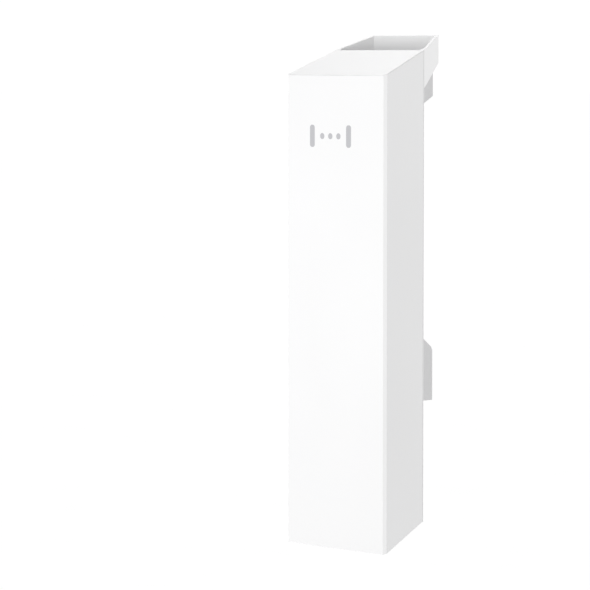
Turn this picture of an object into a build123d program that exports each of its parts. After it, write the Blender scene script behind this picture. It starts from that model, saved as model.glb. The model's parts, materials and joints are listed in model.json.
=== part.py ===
from build123d import *

import os
from math import atan, cos

# Outdoor wireless bridge: a slim upright radio with strap saddles behind it. Millimetres.
# The origin is the centre of the lower saddle's rear face, where the unit meets its wall or
# pole. +Z is up, the front looks along -Y, and X = 0 is the plane of symmetry.

# --- Driving dimensions ---------------------------------------------------------------------
front_width = 61.0
back_width = 54.5
front_height = 205.0
body_depth = 27.5
mount_depth = 16.0        # how far the hood and the saddles stand behind the body
roof_rise = 0.40          # rise of the roof per millimetre of depth
base_rise = 0.45          # rise of the slanted base per millimetre of depth
saddle_height = 74.0      # of the lower saddle's centre, above the front bottom edge
crown = 0.4               # how far the front bulges at its middle
edge_chamfer = 1.25       # on the upright front edges
soft_edge = 0.35          # rounding of the other outer edges

shell_wall = 2.0
front_wall = 2.2
lip_gap = 0.2             # between the shell's wall and the cover's step
seam_gap = 0.12           # the line between the shell and the cover's edge
travel_gap = 0.3          # round everything that moves

front_y = -(body_depth + mount_depth)
back_y = -mount_depth
base_z = -saddle_height
brow_z = base_z + front_height
side_front = crown + edge_chamfer   # depth at which the sides begin, behind the chamfers
side_slope = (front_width - back_width) / 2 / (body_depth - side_front)


def depth(distance):
    """Y of a plane this far behind the front."""
    return front_y + distance


def height(distance):
    """Z of a level this far above the front bottom edge."""
    return base_z + distance


def half_width(y):
    """Half of the body's width at this Y, where its sides draw in towards the back."""
    return front_width / 2 - side_slope * (y - front_y - side_front)


def roof_z(y):
    """Level of the slanted roof at this Y."""
    return brow_z + roof_rise * (y - front_y)


def floor_z(y):
    """Level of the slanted base at this Y."""
    return base_z + base_rise * (y - front_y)


def body_slab(inset, y_front, y_back):
    """The body's outline between two upright planes, drawn in by inset on its four sides."""
    roof_inset = inset / cos(atan(roof_rise))
    base_inset = inset / cos(atan(base_rise))
    with BuildPart() as slab:
        for y in (y_front, y_back):
            low = floor_z(y) + base_inset
            high = roof_z(y) - roof_inset
            with BuildSketch(Plane.XZ.offset(-y)):
                with Locations((0, (low + high) / 2)):
                    Rectangle(2 * (half_width(y) - inset), high - low)
        loft(ruled=True)
    return slab.part


def band(z_low, z_high, y_front, y_back, inset):
    """A level slice of the body's outline, for shelves across the inside."""
    with BuildPart() as slice_of_body:
        add(body_slab(inset, y_front, y_back))
        with BuildSketch(Plane.XY.offset(z_low)):
            with Locations((0, (y_front + y_back) / 2)):
                Rectangle(2 * front_width, 4 * body_depth)
        extrude(amount=z_high - z_low, mode=Mode.INTERSECT)
    return slice_of_body.part


def facing(y):
    """A sketch plane across the unit at this Y: it extrudes towards the front."""
    return Plane.XZ.offset(-y)


def posts(places, radius, y_back, y_front):
    """Round posts along Y, one at each place."""
    with BuildPart() as group:
        with BuildSketch(facing(y_back)):
            with Locations(*places):
                Circle(radius)
        extrude(amount=y_back - y_front)
    return group.part


def plates(places, width, tall, y_back, y_front):
    """Rectangular plates across Y, one at each place."""
    with BuildPart() as group:
        with BuildSketch(facing(y_back)):
            with Locations(*places):
                Rectangle(width, tall)
        extrude(amount=y_back - y_front)
    return group.part


def pan_screws(places, seat_y, head_to, tip_to, shank_radius, head_radius):
    """Pan-head screws along Y. The head runs from seat_y to head_to, the shank to tip_to."""
    socket_depth = abs(head_to - seat_y) * 0.6
    inwards = 1 if seat_y > head_to else -1
    socket_to = head_to + inwards * socket_depth
    long_side, short_side = head_radius * 1.1, head_radius * 0.3
    with BuildPart() as group:
        add(posts(places, head_radius, max(seat_y, head_to), min(seat_y, head_to)))
        add(posts(places, shank_radius, max(seat_y, tip_to), min(seat_y, tip_to)))
        for width, tall in ((long_side, short_side), (short_side, long_side)):
            cross = plates(places, width, tall, max(head_to, socket_to), min(head_to, socket_to))
            add(cross, mode=Mode.SUBTRACT)
    return group.part


# --- Depths of the layers, counted back from the front ---------------------------------------
seam_y = depth(26.6)          # where the front shell ends and the cover's edge begins
step_y = depth(24.6)          # front of the step that enters the shell
board_front = depth(17.8)
board_back = depth(19.4)
antenna_front = depth(4.2)
antenna_back = depth(5.2)
reflector_front = depth(9.0)
reflector_back = depth(9.8)
ledge_front = depth(23.7)     # the control ledge behind the port cover
ledge_back = depth(25.2)

# --- Levels and places ------------------------------------------------------------------------
shelf_low = height(46.0)
shelf_high = height(47.6)
port_top = height(61.7)       # top of the recess that the port cover fills
port_half = 22.0              # half of that recess's width
groove_half = 23.3            # half of the width across the cover's grooves
control_z = height(54.6)
board_low = height(48.0)
board_high = height(200.0)

case_places = [(x, height(h)) for x in (-22.3, 22.3) for h in (70.0, 131.0, 191.0)]
board_places = [(x, height(h)) for x in (-15.0, 15.0) for h in (82.0, 188.0)]
lower_mount_places = [(x, height(74.0)) for x in (-9.0, 9.0)]
upper_mount_places = [(x, height(198.0)) for x in (-9.0, 9.0)]
led_places = [(-22.6, height(h)) for h in (96.0, 103.0, 110.0)]
jack_pitch = 16.1
jack_xs = [-jack_pitch, 0.0, jack_pitch]
button_place = (-9.0, control_z)
slider_place = (8.0, control_z)
vent_place = (14.0, height(160.0))
ground_place = (-21.2, height(84.0))

case_boss_radius = 3.2
case_pilot_radius = 1.2
board_post_radius = 2.6


# --- Front shell ------------------------------------------------------------------------------
crown_x = front_width / 2 - edge_chamfer
chamfer_y = front_y + side_front
with BuildPart() as outer_body:
    with BuildSketch(Plane.XY.offset(base_z - 5)):
        with BuildLine():
            ThreePointArc((-crown_x, front_y + crown), (0, front_y), (crown_x, front_y + crown))
            Polyline(
                (crown_x, front_y + crown),
                (half_width(chamfer_y), chamfer_y),
                (half_width(seam_y), seam_y),
                (-half_width(seam_y), seam_y),
                (-half_width(chamfer_y), chamfer_y),
                (-crown_x, front_y + crown),
            )
        make_face()
    extrude(amount=front_height + 30)
    with BuildSketch(Plane.YZ.offset(-front_width)):
        Polygon(
            (front_y - 2, floor_z(front_y - 2)),
            (seam_y + 2, floor_z(seam_y + 2)),
            (seam_y + 2, roof_z(seam_y + 2)),
            (front_y - 2, roof_z(front_y - 2)),
            align=None,
        )
    extrude(amount=2 * front_width, mode=Mode.INTERSECT)
    rim_edges = outer_body.edges().filter_by_position(Axis.Y, seam_y - 0.01, seam_y + 0.01)
    fillet(outer_body.edges() - rim_edges, soft_edge)

# The mark: two posts joined by a row of dashes, a plain picture of a radio link.
mark_x = -2.6
mark_z = height(178.8)
mark_deep = 0.5
post_size = (3.0, 9.6)
dash_size = (2.6, 2.6)
with BuildPart() as mark_prisms:
    with BuildSketch(facing(front_y + mark_deep)):
        with Locations((mark_x - 11.2, mark_z), (mark_x + 11.2, mark_z)):
            RectangleRounded(*post_size, 1.2)
        with Locations(*[(mark_x + 5.0 * i, mark_z) for i in (-1, 0, 1)]):
            RectangleRounded(*dash_size, 1.2)
    extrude(amount=mark_deep + 1)

# The base has a window for the cable seal, square to the slanted base.
base_normal = Vector(0, base_rise, -1).normalized()
window_mid = Vector(0, depth(15.0), floor_z(depth(15.0)))
base_plane = Plane(origin=window_mid, x_dir=(1, 0, 0), z_dir=base_normal)
window_size = (44.0, 11.0)
flange_size = (48.0, 15.0)
seal_lip = 1.2

with BuildPart() as front_shell:
    add(outer_body.part)
    add(body_slab(shell_wall, depth(front_wall), seam_y + 1), mode=Mode.SUBTRACT)
    add(posts(case_places, case_boss_radius, step_y, depth(front_wall - 0.6)))
    add(posts(case_places, case_pilot_radius, step_y, step_y - 14), mode=Mode.SUBTRACT)
    add(mark_prisms.part, mode=Mode.SUBTRACT)
    with BuildSketch(base_plane.offset(1)):
        RectangleRounded(*window_size, 2)
    extrude(amount=-(shell_wall + 2), mode=Mode.SUBTRACT)
    # the port cover slides out through the rear of the base
    with BuildSketch(Plane.XY.offset(base_z)):
        with Locations((0, (depth(25.1) + seam_y + 1) / 2)):
            Rectangle(2 * (groove_half + 0.1), seam_y + 1 - depth(25.1))
    extrude(amount=20, mode=Mode.SUBTRACT)

with BuildPart() as front_mark:
    add(mark_prisms.part)
    add(outer_body.part, mode=Mode.INTERSECT)


# --- Cable seal -------------------------------------------------------------------------------
cable_radius = 2.75
seal_gap = 0.05
with BuildPart() as cable_grommet:
    with BuildSketch(base_plane.offset(seal_lip)):
        RectangleRounded(*flange_size, 3)
    extrude(amount=-seal_lip)
    with BuildSketch(base_plane):
        RectangleRounded(window_size[0] - 2 * seal_gap, window_size[1] - 2 * seal_gap, 2)
    extrude(amount=-shell_wall)
    with BuildSketch(base_plane.offset(-shell_wall)):
        RectangleRounded(window_size[0] + 2, window_size[1] + 2, 2.5)
    extrude(amount=-seal_lip)
    with BuildSketch(base_plane.offset(seal_lip + 1)):
        with Locations(*[(x, 0) for x in jack_xs]):
            Circle(cable_radius)
    extrude(amount=-(shell_wall + 2 * seal_lip + 2), mode=Mode.SUBTRACT)


# --- Rear cover -------------------------------------------------------------------------------
through = back_y + 1          # behind the rear face, where cuts into it begin
edge_break = 0.4              # chamfer round the rear face
groove_front = depth(25.1)    # of the case gasket's groove
groove_back = depth(26.1)
gasket_wide = 1.4
bay_front = depth(22.0)       # front of the open bay behind the port cover's lower half
cheek_x = 23.6                # middle of the rails beside the port cover
cheek_wide = 3.2
cheek_front = depth(22.9)
cheek_low = height(16.0)
jack_front = depth(4.4)
jack_window = (12.4, 9.0)
slider_travel = 3.0
label_mid = (-2.0, height(131.0))
label_size = (32.0, 40.0)
label_deep = 0.25             # recess that the label sits in
label_thick = 0.15
with BuildPart() as rear_cover:
    add(body_slab(0, seam_y + seam_gap, back_y))
    rear_edges = rear_cover.edges().filter_by_position(Axis.Y, back_y - 0.01, back_y + 0.01)
    chamfer(rear_edges, edge_break)
    add(body_slab(shell_wall + lip_gap, step_y, seam_y + seam_gap))
    # groove for the case gasket, round the step
    add(body_slab(0, groove_front, groove_back), mode=Mode.SUBTRACT)
    add(body_slab(shell_wall + gasket_wide, groove_front, groove_back))
    # thicker round the ports, with the shelf that the jacks look through
    add(band(shelf_low, port_top + 1.6, ledge_front, step_y, shell_wall + lip_gap))
    add(band(shelf_low, shelf_high, depth(3.0), step_y, shell_wall + lip_gap))
    for side in (-1, 1):
        with BuildSketch(Plane.XY.offset(cheek_low)):
            with Locations((side * cheek_x, (cheek_front + step_y) / 2)):
                Rectangle(cheek_wide, step_y - cheek_front)
        extrude(amount=shelf_low - cheek_low)
    # the recess, the grooves and the open bay of the port cover
    with BuildSketch(Plane.XY.offset(base_z)):
        with Locations((0, (ledge_back + through) / 2)):
            Rectangle(2 * port_half, through - ledge_back)
        with Locations((0, (ledge_back + depth(26.7)) / 2)):
            Rectangle(2 * groove_half, depth(26.7) - ledge_back)
    extrude(amount=port_top - base_z, mode=Mode.SUBTRACT)
    with BuildSketch(Plane.XY.offset(base_z)):
        with Locations((0, (bay_front + through) / 2)):
            Rectangle(2 * port_half, through - bay_front)
    extrude(amount=shelf_low - base_z, mode=Mode.SUBTRACT)
    # jack windows in the shelf
    with BuildSketch(Plane.XY.offset(shelf_low - 1)):
        with Locations(*[(x, (jack_front + board_front) / 2) for x in jack_xs]):
            Rectangle(*jack_window)
    extrude(amount=4, mode=Mode.SUBTRACT)
    # controls
    with BuildSketch(facing(through)):
        with Locations(button_place):
            Circle(2.5 + travel_gap)
        with Locations((slider_place[0] + slider_travel / 2, slider_place[1])):
            Rectangle(2.6 + slider_travel + 2 * travel_gap, 3.0 + 2 * travel_gap)
        with Locations(vent_place):
            Circle(4.0)
        with Locations(*led_places):
            Circle(1.3)
        with Locations(*case_places):
            Circle(1.7)
        with Locations(*lower_mount_places, *upper_mount_places):
            Circle(1.6)
    extrude(amount=through - bay_front, mode=Mode.SUBTRACT)
    with BuildSketch(facing(back_y)):
        with Locations(*case_places):
            Circle(2.9)
    extrude(amount=1.6, taper=35, mode=Mode.SUBTRACT)
    # recess for the label
    with BuildSketch(facing(back_y)):
        with Locations(label_mid):
            RectangleRounded(label_size[0] + 0.6, label_size[1] + 0.6, 2.3)
    extrude(amount=label_deep, mode=Mode.SUBTRACT)
    # posts that the main board is screwed to
    add(posts(board_places, board_post_radius, step_y + 0.5, board_back))
    add(posts(board_places, 1.0, step_y, board_back), mode=Mode.SUBTRACT)
    # blind hole for the earth screw
    add(posts([ground_place], 3.4, step_y + 0.5, depth(21.6)))
    add(posts([ground_place], 1.95, through, depth(22.4)), mode=Mode.SUBTRACT)

with BuildPart() as case_gasket:
    add(body_slab(shell_wall, groove_front + 0.05, groove_back - 0.05))
    add(body_slab(shell_wall + gasket_wide, groove_front - 0.1, groove_back + 0.1), mode=Mode.SUBTRACT)
    # it stops at the port cover's opening
    with BuildSketch(Plane.XY.offset(base_z)):
        with Locations((0, (groove_front + groove_back) / 2)):
            Rectangle(2 * (groove_half + 0.7), 4)
    extrude(amount=30, mode=Mode.SUBTRACT)


# --- Port cover, which slides down out of its grooves -----------------------------------------
cover_front = ledge_back + travel_gap
tongue_back = cover_front + 0.9
cover_top = port_top - travel_gap
ridge_half = 9.0
ridge_rise = 0.7
arrow_z = height(34.0)        # a plain arrow that points the way the cover slides
with BuildPart() as port_cover:
    with BuildSketch(Plane.XY.offset(base_z)):
        with Locations((0, (cover_front + back_y) / 2)):
            Rectangle(2 * (port_half - travel_gap), back_y - cover_front)
        with Locations((0, (cover_front + tongue_back) / 2)):
            Rectangle(2 * (groove_half - travel_gap), tongue_back - cover_front)
    extrude(amount=cover_top - base_z)
    with BuildSketch(Plane.YZ.offset(-front_width)):
        Polygon(
            (front_y, floor_z(front_y)),
            (0, floor_z(0)),
            (0, cover_top),
            (front_y, cover_top),
            align=None,
        )
    extrude(amount=2 * front_width, mode=Mode.INTERSECT)
    # finger ridges
    with BuildSketch(Plane.YZ.offset(-ridge_half)):
        for level in (20.0, 23.0, 26.0):
            with BuildLine():
                Polyline(
                    (back_y - 0.1, height(level - 0.9)),
                    (back_y + ridge_rise, height(level - 0.2)),
                    (back_y + ridge_rise, height(level + 0.2)),
                    (back_y - 0.1, height(level + 0.9)),
                    close=True,
                )
            make_face()
    extrude(amount=2 * ridge_half)
    with BuildSketch(facing(back_y)):
        Polygon((-2.6, arrow_z + 1.8), (2.6, arrow_z + 1.8), (0, arrow_z - 1.8), align=None)
    extrude(amount=0.35, mode=Mode.SUBTRACT)


# --- Hood, and the two saddles ------------------------------------------------------------------
hood_wall = 1.4
hood_back = 1.0               # thickness of its rear wall
hood_draw = 7.3               # how far each hood side draws in over its depth
hood_half = back_width / 2
hood_low_front = height(199.7)
hood_low_back = height(210.2)
gusset = 1.5                  # stiffens each side of the hood where it meets the body
saddle_half = 17.1
saddle_corner = 0.8
strap_front = back_y + 3.9    # the strap slots run through along X, between these two depths
strap_back = back_y + 8.5
lower_low = height(63.4)
lower_top_front = height(98.4)
lower_top_back = height(85.8)
upper_low_front = height(187.2)
upper_low_back = height(196.2)
upper_top = height(214.0)
pilot_radius = 1.2
pilot_deep = 3.5


def side_profile(*points):
    """A band right across the unit whose outline in Y and Z has these corners."""
    with BuildPart() as across:
        with BuildSketch(Plane.YZ.offset(-front_width)):
            Polygon(*points, align=None)
        extrude(amount=2 * front_width)
    return across.part


with BuildPart() as hood_walls:
    inner_half = hood_half - hood_wall
    inner_back = hood_half - hood_draw - 0.9 * hood_wall
    with BuildSketch(Plane.XY.offset(base_z)):
        Polygon(
            (-hood_half, back_y),
            (-hood_half + hood_draw, 0),
            (hood_half - hood_draw, 0),
            (hood_half, back_y),
            align=None,
        )
        Polygon(
            (-inner_half + gusset, back_y - 1),
            (-inner_half + gusset, back_y),
            (-inner_half + 0.4 * gusset, back_y + gusset),
            (-inner_back, -hood_back),
            (inner_back, -hood_back),
            (inner_half - 0.4 * gusset, back_y + gusset),
            (inner_half - gusset, back_y),
            (inner_half - gusset, back_y - 1),
            align=None,
            mode=Mode.SUBTRACT,
        )
    extrude(amount=front_height + 30)
    add(
        side_profile((back_y, hood_low_front), (0, hood_low_back), (0, roof_z(0)), (back_y, roof_z(back_y))),
        mode=Mode.INTERSECT,
    )

# Where the hood's sides meet the body they fill the cover's chamfer, so the two lie flush.
with BuildPart() as chamfer_fill:
    add(body_slab(0, back_y - edge_break, back_y))
    fill_x = hood_half - hood_wall / 2 + 1
    fill_tall = roof_z(back_y) + 5 - hood_low_front
    with BuildSketch(facing(back_y)):
        with Locations(*[(side * fill_x, hood_low_front + fill_tall / 2) for side in (-1, 1)]):
            Rectangle(hood_wall + 2, fill_tall)
    extrude(amount=edge_break, mode=Mode.INTERSECT)
    add(rear_cover.part, mode=Mode.SUBTRACT)

with BuildPart() as mount_hood:
    add(hood_walls.part)
    add(chamfer_fill.part)


def saddle(outline, slot_outline):
    """A solid saddle with rounded rear corners and a strap slot. Both outlines are in Y and Z."""
    with BuildPart() as block:
        with BuildSketch(Plane.XY.offset(base_z)) as plan:
            with Locations((0, back_y / 2)):
                Rectangle(2 * saddle_half, mount_depth)
            fillet(plan.vertices().group_by(Axis.Y)[-1], saddle_corner)
        extrude(amount=front_height + 30)
        add(side_profile(*outline), mode=Mode.INTERSECT)
        with BuildSketch(Plane.YZ.offset(-front_width)):
            slot = Polygon(*slot_outline, align=None)
            fillet(slot.vertices(), 0.8)
        extrude(amount=2 * front_width, mode=Mode.SUBTRACT)
    return block.part


def grip_grooves(z_low, z_high):
    """Upright V grooves at each side of a saddle's plain middle."""
    places = [side * (6.0 + 2.2 * i) for side in (-1, 1) for i in range(4)]
    with BuildPart() as grooves:
        with BuildSketch(Plane.XY.offset(z_low)):
            for x in places:
                with BuildLine():
                    Polyline((x - 0.6, 0.1), (x, -0.5), (x + 0.6, 0.1), close=True)
                make_face()
        extrude(amount=z_high - z_low)
    return grooves.part


with BuildPart() as lower_saddle:
    add(saddle(
        [
            (back_y, lower_low),
            (0, lower_low),
            (0, lower_top_back - 1.6),
            (-1.2, lower_top_back + 0.9),
            (back_y, lower_top_front),
        ],
        [
            (strap_front, height(69.0)),
            (strap_back, height(69.0)),
            (strap_back, height(81.0)),
            (strap_front, height(81.0)),
        ],
    ))
    add(grip_grooves(lower_low + 2, lower_top_back - 4), mode=Mode.SUBTRACT)
    add(posts(lower_mount_places, pilot_radius, back_y + pilot_deep, back_y), mode=Mode.SUBTRACT)

with BuildPart() as upper_saddle:
    add(saddle(
        [
            (back_y, upper_low_front),
            (0, upper_low_back),
            (0, upper_top),
            (back_y, upper_top),
        ],
        [
            (strap_front, height(191.0)),
            (strap_back, height(193.6)),
            (strap_back, height(204.9)),
            (strap_front, height(201.9)),
        ],
    ))
    add(mount_hood.part, mode=Mode.SUBTRACT)
    add(grip_grooves(upper_low_back + 1.5, hood_low_back - 1.5), mode=Mode.SUBTRACT)
    add(posts(upper_mount_places, pilot_radius, back_y + pilot_deep, back_y), mode=Mode.SUBTRACT)


# --- Screws ---------------------------------------------------------------------------------
with BuildPart() as case_screws:
    with BuildSketch(facing(back_y - 0.2)):
        with Locations(*case_places):
            Circle(2.65)
    extrude(amount=1.3, taper=35)
    add(posts(case_places, case_pilot_radius, back_y - 1.4, step_y - 9))
    for wide, tall in ((2.8, 0.7), (0.7, 2.8)):
        add(plates(case_places, wide, tall, back_y, back_y - 0.8), mode=Mode.SUBTRACT)

with BuildPart() as mount_screws:
    for places in (lower_mount_places, upper_mount_places):
        add(pan_screws(places, step_y, step_y - 1.6, back_y + pilot_deep - 0.1, pilot_radius, 2.5))

with BuildPart() as board_screws:
    add(pan_screws(board_places, board_front, board_front - 1.4, board_front + 5.4, 1.0, 2.3))


# --- Vent plug, earth screw, light pipe and blank rating plate on the rear -------------------
with BuildPart() as vent_plug:
    add(posts([vent_place], 6.0, back_y + 1.6, back_y))
    chamfer(vent_plug.edges().group_by(Axis.Y)[-1], 0.5)
    add(posts([vent_place], 3.95, back_y, step_y - 1.0))
    add(posts([vent_place], 2.4, step_y, step_y - 2.0), mode=Mode.SUBTRACT)

with BuildPart() as ground_screw:
    add(posts([ground_place], 3.4, back_y + 0.8, back_y))
    add(pan_screws([ground_place], back_y + 0.8, back_y + 2.8, depth(22.8), 1.9, 2.9))

with BuildPart() as light_pipe:
    with BuildSketch(facing(step_y)):
        with Locations((led_places[1][0], led_places[1][1])):
            Rectangle(3.4, 18.0)
    extrude(amount=1.0)
    add(posts(led_places, 1.25, back_y + 0.3, step_y - 3.4))

with BuildPart() as rating_plate:
    with BuildSketch(facing(back_y - label_deep + label_thick)):
        with Locations(label_mid):
            RectangleRounded(*label_size, 2.0)
    extrude(amount=label_thick)


# --- Controls behind the port cover -----------------------------------------------------------
with BuildPart() as pair_button:
    add(posts([button_place], 2.5, depth(25.0), depth(22.9)))
    add(posts([button_place], 3.6, ledge_front - travel_gap, depth(22.9)))

with BuildPart() as button_switch:
    add(plates([button_place], 6.0, 6.0, depth(21.6), board_back))
    add(posts([button_place], 1.6, depth(22.0), depth(21.6)))

with BuildPart() as mode_slider:
    add(plates([slider_place], 2.6, 3.0, depth(25.0), depth(22.9)))
    add(plates([slider_place], 9.0, 5.2, ledge_front - travel_gap, depth(22.9)))

with BuildPart() as mode_switch:
    switch_place = (slider_place[0] + slider_travel / 2, slider_place[1])
    add(plates([switch_place], 9.0, 4.0, depth(21.8), board_back))
    add(plates([switch_place], 5.0, 1.6, depth(22.3), depth(21.8)))


# --- Network jacks ------------------------------------------------------------------------------
jack_width = 15.9
jack_thick = board_front - jack_front
jack_long = 16.5
jack_mid_y = (board_front + jack_front) / 2
mouth_deep = 13.5
mouth_size = (11.8, 7.0)
notch_size = (6.4, 2.0)       # of the latch's notch, behind the mouth


def network_jack(x):
    """A jack that opens downwards: a square mouth with a narrower latch notch behind it."""
    with BuildPart() as jack:
        with BuildSketch(Plane.XY.offset(shelf_high)):
            with Locations((x, jack_mid_y)):
                Rectangle(jack_width, jack_thick)
        extrude(amount=jack_long)
        with BuildSketch(Plane.XY.offset(shelf_high)):
            with Locations((x, jack_mid_y - 0.9)):
                Rectangle(*mouth_size)
            with Locations((x, jack_mid_y + 3.4)):
                Rectangle(*notch_size)
        extrude(amount=mouth_deep, mode=Mode.SUBTRACT)
    return jack.part


with BuildPart() as lan_jack_1:
    add(network_jack(jack_xs[0]))

with BuildPart() as lan_jack_2:
    add(network_jack(jack_xs[1]))

with BuildPart() as lan_jack_3:
    add(network_jack(jack_xs[2]))

contact_pitch = 1.02
contact_low = shelf_high + 3.0
with BuildPart() as jack_contacts:
    for x in jack_xs:
        with BuildSketch(Plane.XY.offset(contact_low)):
            with Locations(*[(x + contact_pitch * (i - 3.5), jack_mid_y - 4.15) for i in range(8)]):
                Rectangle(0.45, 0.5)
        extrude(amount=shelf_high + mouth_deep - contact_low)


# --- Main board -----------------------------------------------------------------------------------
board_half = 24.3
with BuildPart() as main_board:
    with BuildSketch(facing(board_back)):
        with Locations((0, (board_low + board_high) / 2)):
            Rectangle(2 * board_half, board_high - board_low)
        with Locations(*case_places):
            Circle(case_boss_radius + 0.5, mode=Mode.SUBTRACT)
        with Locations(*board_places):
            Circle(1.2, mode=Mode.SUBTRACT)
    extrude(amount=board_back - board_front)


def shield_can(x, z, width, tall):
    """A sheet-metal can, open towards the board."""
    wall = 0.3
    top_y = board_front - 3.0
    inside = plates([(x, z)], width - 2 * wall, tall - 2 * wall, board_front, top_y + wall)
    with BuildPart() as can:
        add(plates([(x, z)], width, tall, board_front, top_y))
        chamfer(can.edges().filter_by_position(Axis.Y, top_y - 0.01, top_y + 0.01), 0.3)
        add(inside, mode=Mode.SUBTRACT)
    return can.part


with BuildPart() as processor_shield:
    add(shield_can(0, height(124.0), 30.0, 26.0))

with BuildPart() as radio_shield:
    add(shield_can(0, height(160.0), 30.0, 34.0))

with BuildPart() as thermal_pad:
    add(plates([(0, height(124.0))], 22.0, 22.0, board_back + 1.5, board_back))

with BuildPart() as heat_spreader:
    add(plates([(0, height(134.0))], 34.0, 76.0, board_back + 2.7, board_back + 1.5))

with BuildPart() as power_transformer:
    add(plates([(-9.5, height(96.5))], 13.0, 15.0, board_front, board_front - 7.5))
    chamfer(power_transformer.edges().filter_by(Axis.Y), 1.0)

with BuildPart() as lan_transformers:
    add(plates([(x, height(72.5)) for x in (-11.0, 3.6)], 12.5, 7.0, board_front, board_front - 4.2))

with BuildPart() as capacitors:
    can_places = [(x, height(h)) for x in (4.0, 13.0) for h in (92.0, 101.0)]
    add(posts(can_places, 3.9, board_front, board_front - 7.0))

with BuildPart() as status_leds:
    add(plates(led_places, 1.6, 2.0, board_back + 0.7, board_back))


# --- Antenna ------------------------------------------------------------------------------------
panel_mid = (0, height(144.0))
patch_places = [(0, height(h)) for h in (107.0, 144.0, 181.0)]
standoff_places = [(x, height(h)) for x in (-16.0, 16.0) for h in (92.0, 144.0, 196.0)]
feed_places = [(-6.0, height(144.0)), (6.0, height(144.0))]

with BuildPart() as antenna_board:
    with BuildSketch(facing(antenna_back)):
        with Locations(panel_mid):
            Rectangle(40.0, 114.0)
        with Locations(*case_places):
            Circle(case_boss_radius + 0.5, mode=Mode.SUBTRACT)
    extrude(amount=antenna_back - antenna_front)

with BuildPart() as antenna_patches:
    add(plates(patch_places, 22.0, 22.0, antenna_front, antenna_front - 0.2))

with BuildPart() as reflector_plate:
    with BuildSketch(facing(reflector_back)):
        with Locations(panel_mid):
            Rectangle(46.0, 122.0)
        with Locations(*case_places):
            Circle(case_boss_radius + 0.5, mode=Mode.SUBTRACT)
        with Locations(*feed_places):
            Circle(1.6, mode=Mode.SUBTRACT)
    extrude(amount=reflector_back - reflector_front)

with BuildPart() as antenna_standoffs:
    add(posts(standoff_places, 2.2, reflector_front, antenna_back))

# The reflector stands on four posts in front of the main board.
with BuildPart() as reflector_posts:
    stand_places = [(x, height(h)) for x in (-19.5, 19.5) for h in (112.0, 164.0)]
    add(posts(stand_places, 2.2, board_front, reflector_back))


# --- Coax leads from the board up to the antenna ----------------------------------------------
coax_radius = 0.6
socket_places = [(-6.0, height(186.0)), (6.0, height(186.0))]
with BuildPart() as coax_sockets:
    add(plates(socket_places, 2.6, 2.6, board_front, board_front - 1.2))


def coax_lead(side):
    """From its socket on the board, down behind the reflector and forward through its hole."""
    socket_x, socket_z = socket_places[0 if side < 0 else 1]
    feed_x, feed_z = feed_places[0 if side < 0 else 1]
    run_y = depth(12.4)
    with BuildPart() as lead:
        with BuildLine():
            route = FilletPolyline(
                (socket_x, board_front - 1.2, socket_z),
                (socket_x, run_y, socket_z),
                (feed_x, run_y, feed_z),
                (feed_x, antenna_back, feed_z),
                radius=2.5,
            )
        with BuildSketch(Plane(origin=route @ 0, z_dir=route % 0)):
            Circle(coax_radius)
        sweep()
    return lead.part


with BuildPart() as coax_lead_1:
    add(coax_lead(-1))

with BuildPart() as coax_lead_2:
    add(coax_lead(1))


# --- Write every piece --------------------------------------------------------------------------
pieces = {
    "front_shell": front_shell,
    "front_mark": front_mark,
    "cable_grommet": cable_grommet,
    "rear_cover": rear_cover,
    "case_gasket": case_gasket,
    "port_cover": port_cover,
    "mount_hood": mount_hood,
    "upper_saddle": upper_saddle,
    "lower_saddle": lower_saddle,
    "case_screws": case_screws,
    "mount_screws": mount_screws,
    "board_screws": board_screws,
    "vent_plug": vent_plug,
    "ground_screw": ground_screw,
    "light_pipe": light_pipe,
    "rating_plate": rating_plate,
    "pair_button": pair_button,
    "button_switch": button_switch,
    "mode_slider": mode_slider,
    "mode_switch": mode_switch,
    "lan_jack_1": lan_jack_1,
    "lan_jack_2": lan_jack_2,
    "lan_jack_3": lan_jack_3,
    "jack_contacts": jack_contacts,
    "main_board": main_board,
    "processor_shield": processor_shield,
    "radio_shield": radio_shield,
    "thermal_pad": thermal_pad,
    "heat_spreader": heat_spreader,
    "power_transformer": power_transformer,
    "lan_transformers": lan_transformers,
    "capacitors": capacitors,
    "status_leds": status_leds,
    "antenna_board": antenna_board,
    "antenna_patches": antenna_patches,
    "reflector_plate": reflector_plate,
    "antenna_standoffs": antenna_standoffs,
    "reflector_posts": reflector_posts,
    "coax_sockets": coax_sockets,
    "coax_lead_1": coax_lead_1,
    "coax_lead_2": coax_lead_2,
}

os.makedirs("parts", exist_ok=True)
for name, piece in pieces.items():
    piece.part.label = name
    export_step(piece.part, f"parts/{name}.step")
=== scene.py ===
"""Looks of an outdoor wireless bridge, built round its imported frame.

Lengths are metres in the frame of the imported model: +Z is up, the front looks along -Y, and the
origin is the middle of the lower saddle's rear face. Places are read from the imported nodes.
"""

import json
import logging
import math
from collections.abc import Callable, Iterator, Sequence
from contextlib import contextmanager
from dataclasses import dataclass
from enum import Enum

import bmesh
import bpy
from mathutils import Matrix, Vector


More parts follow.
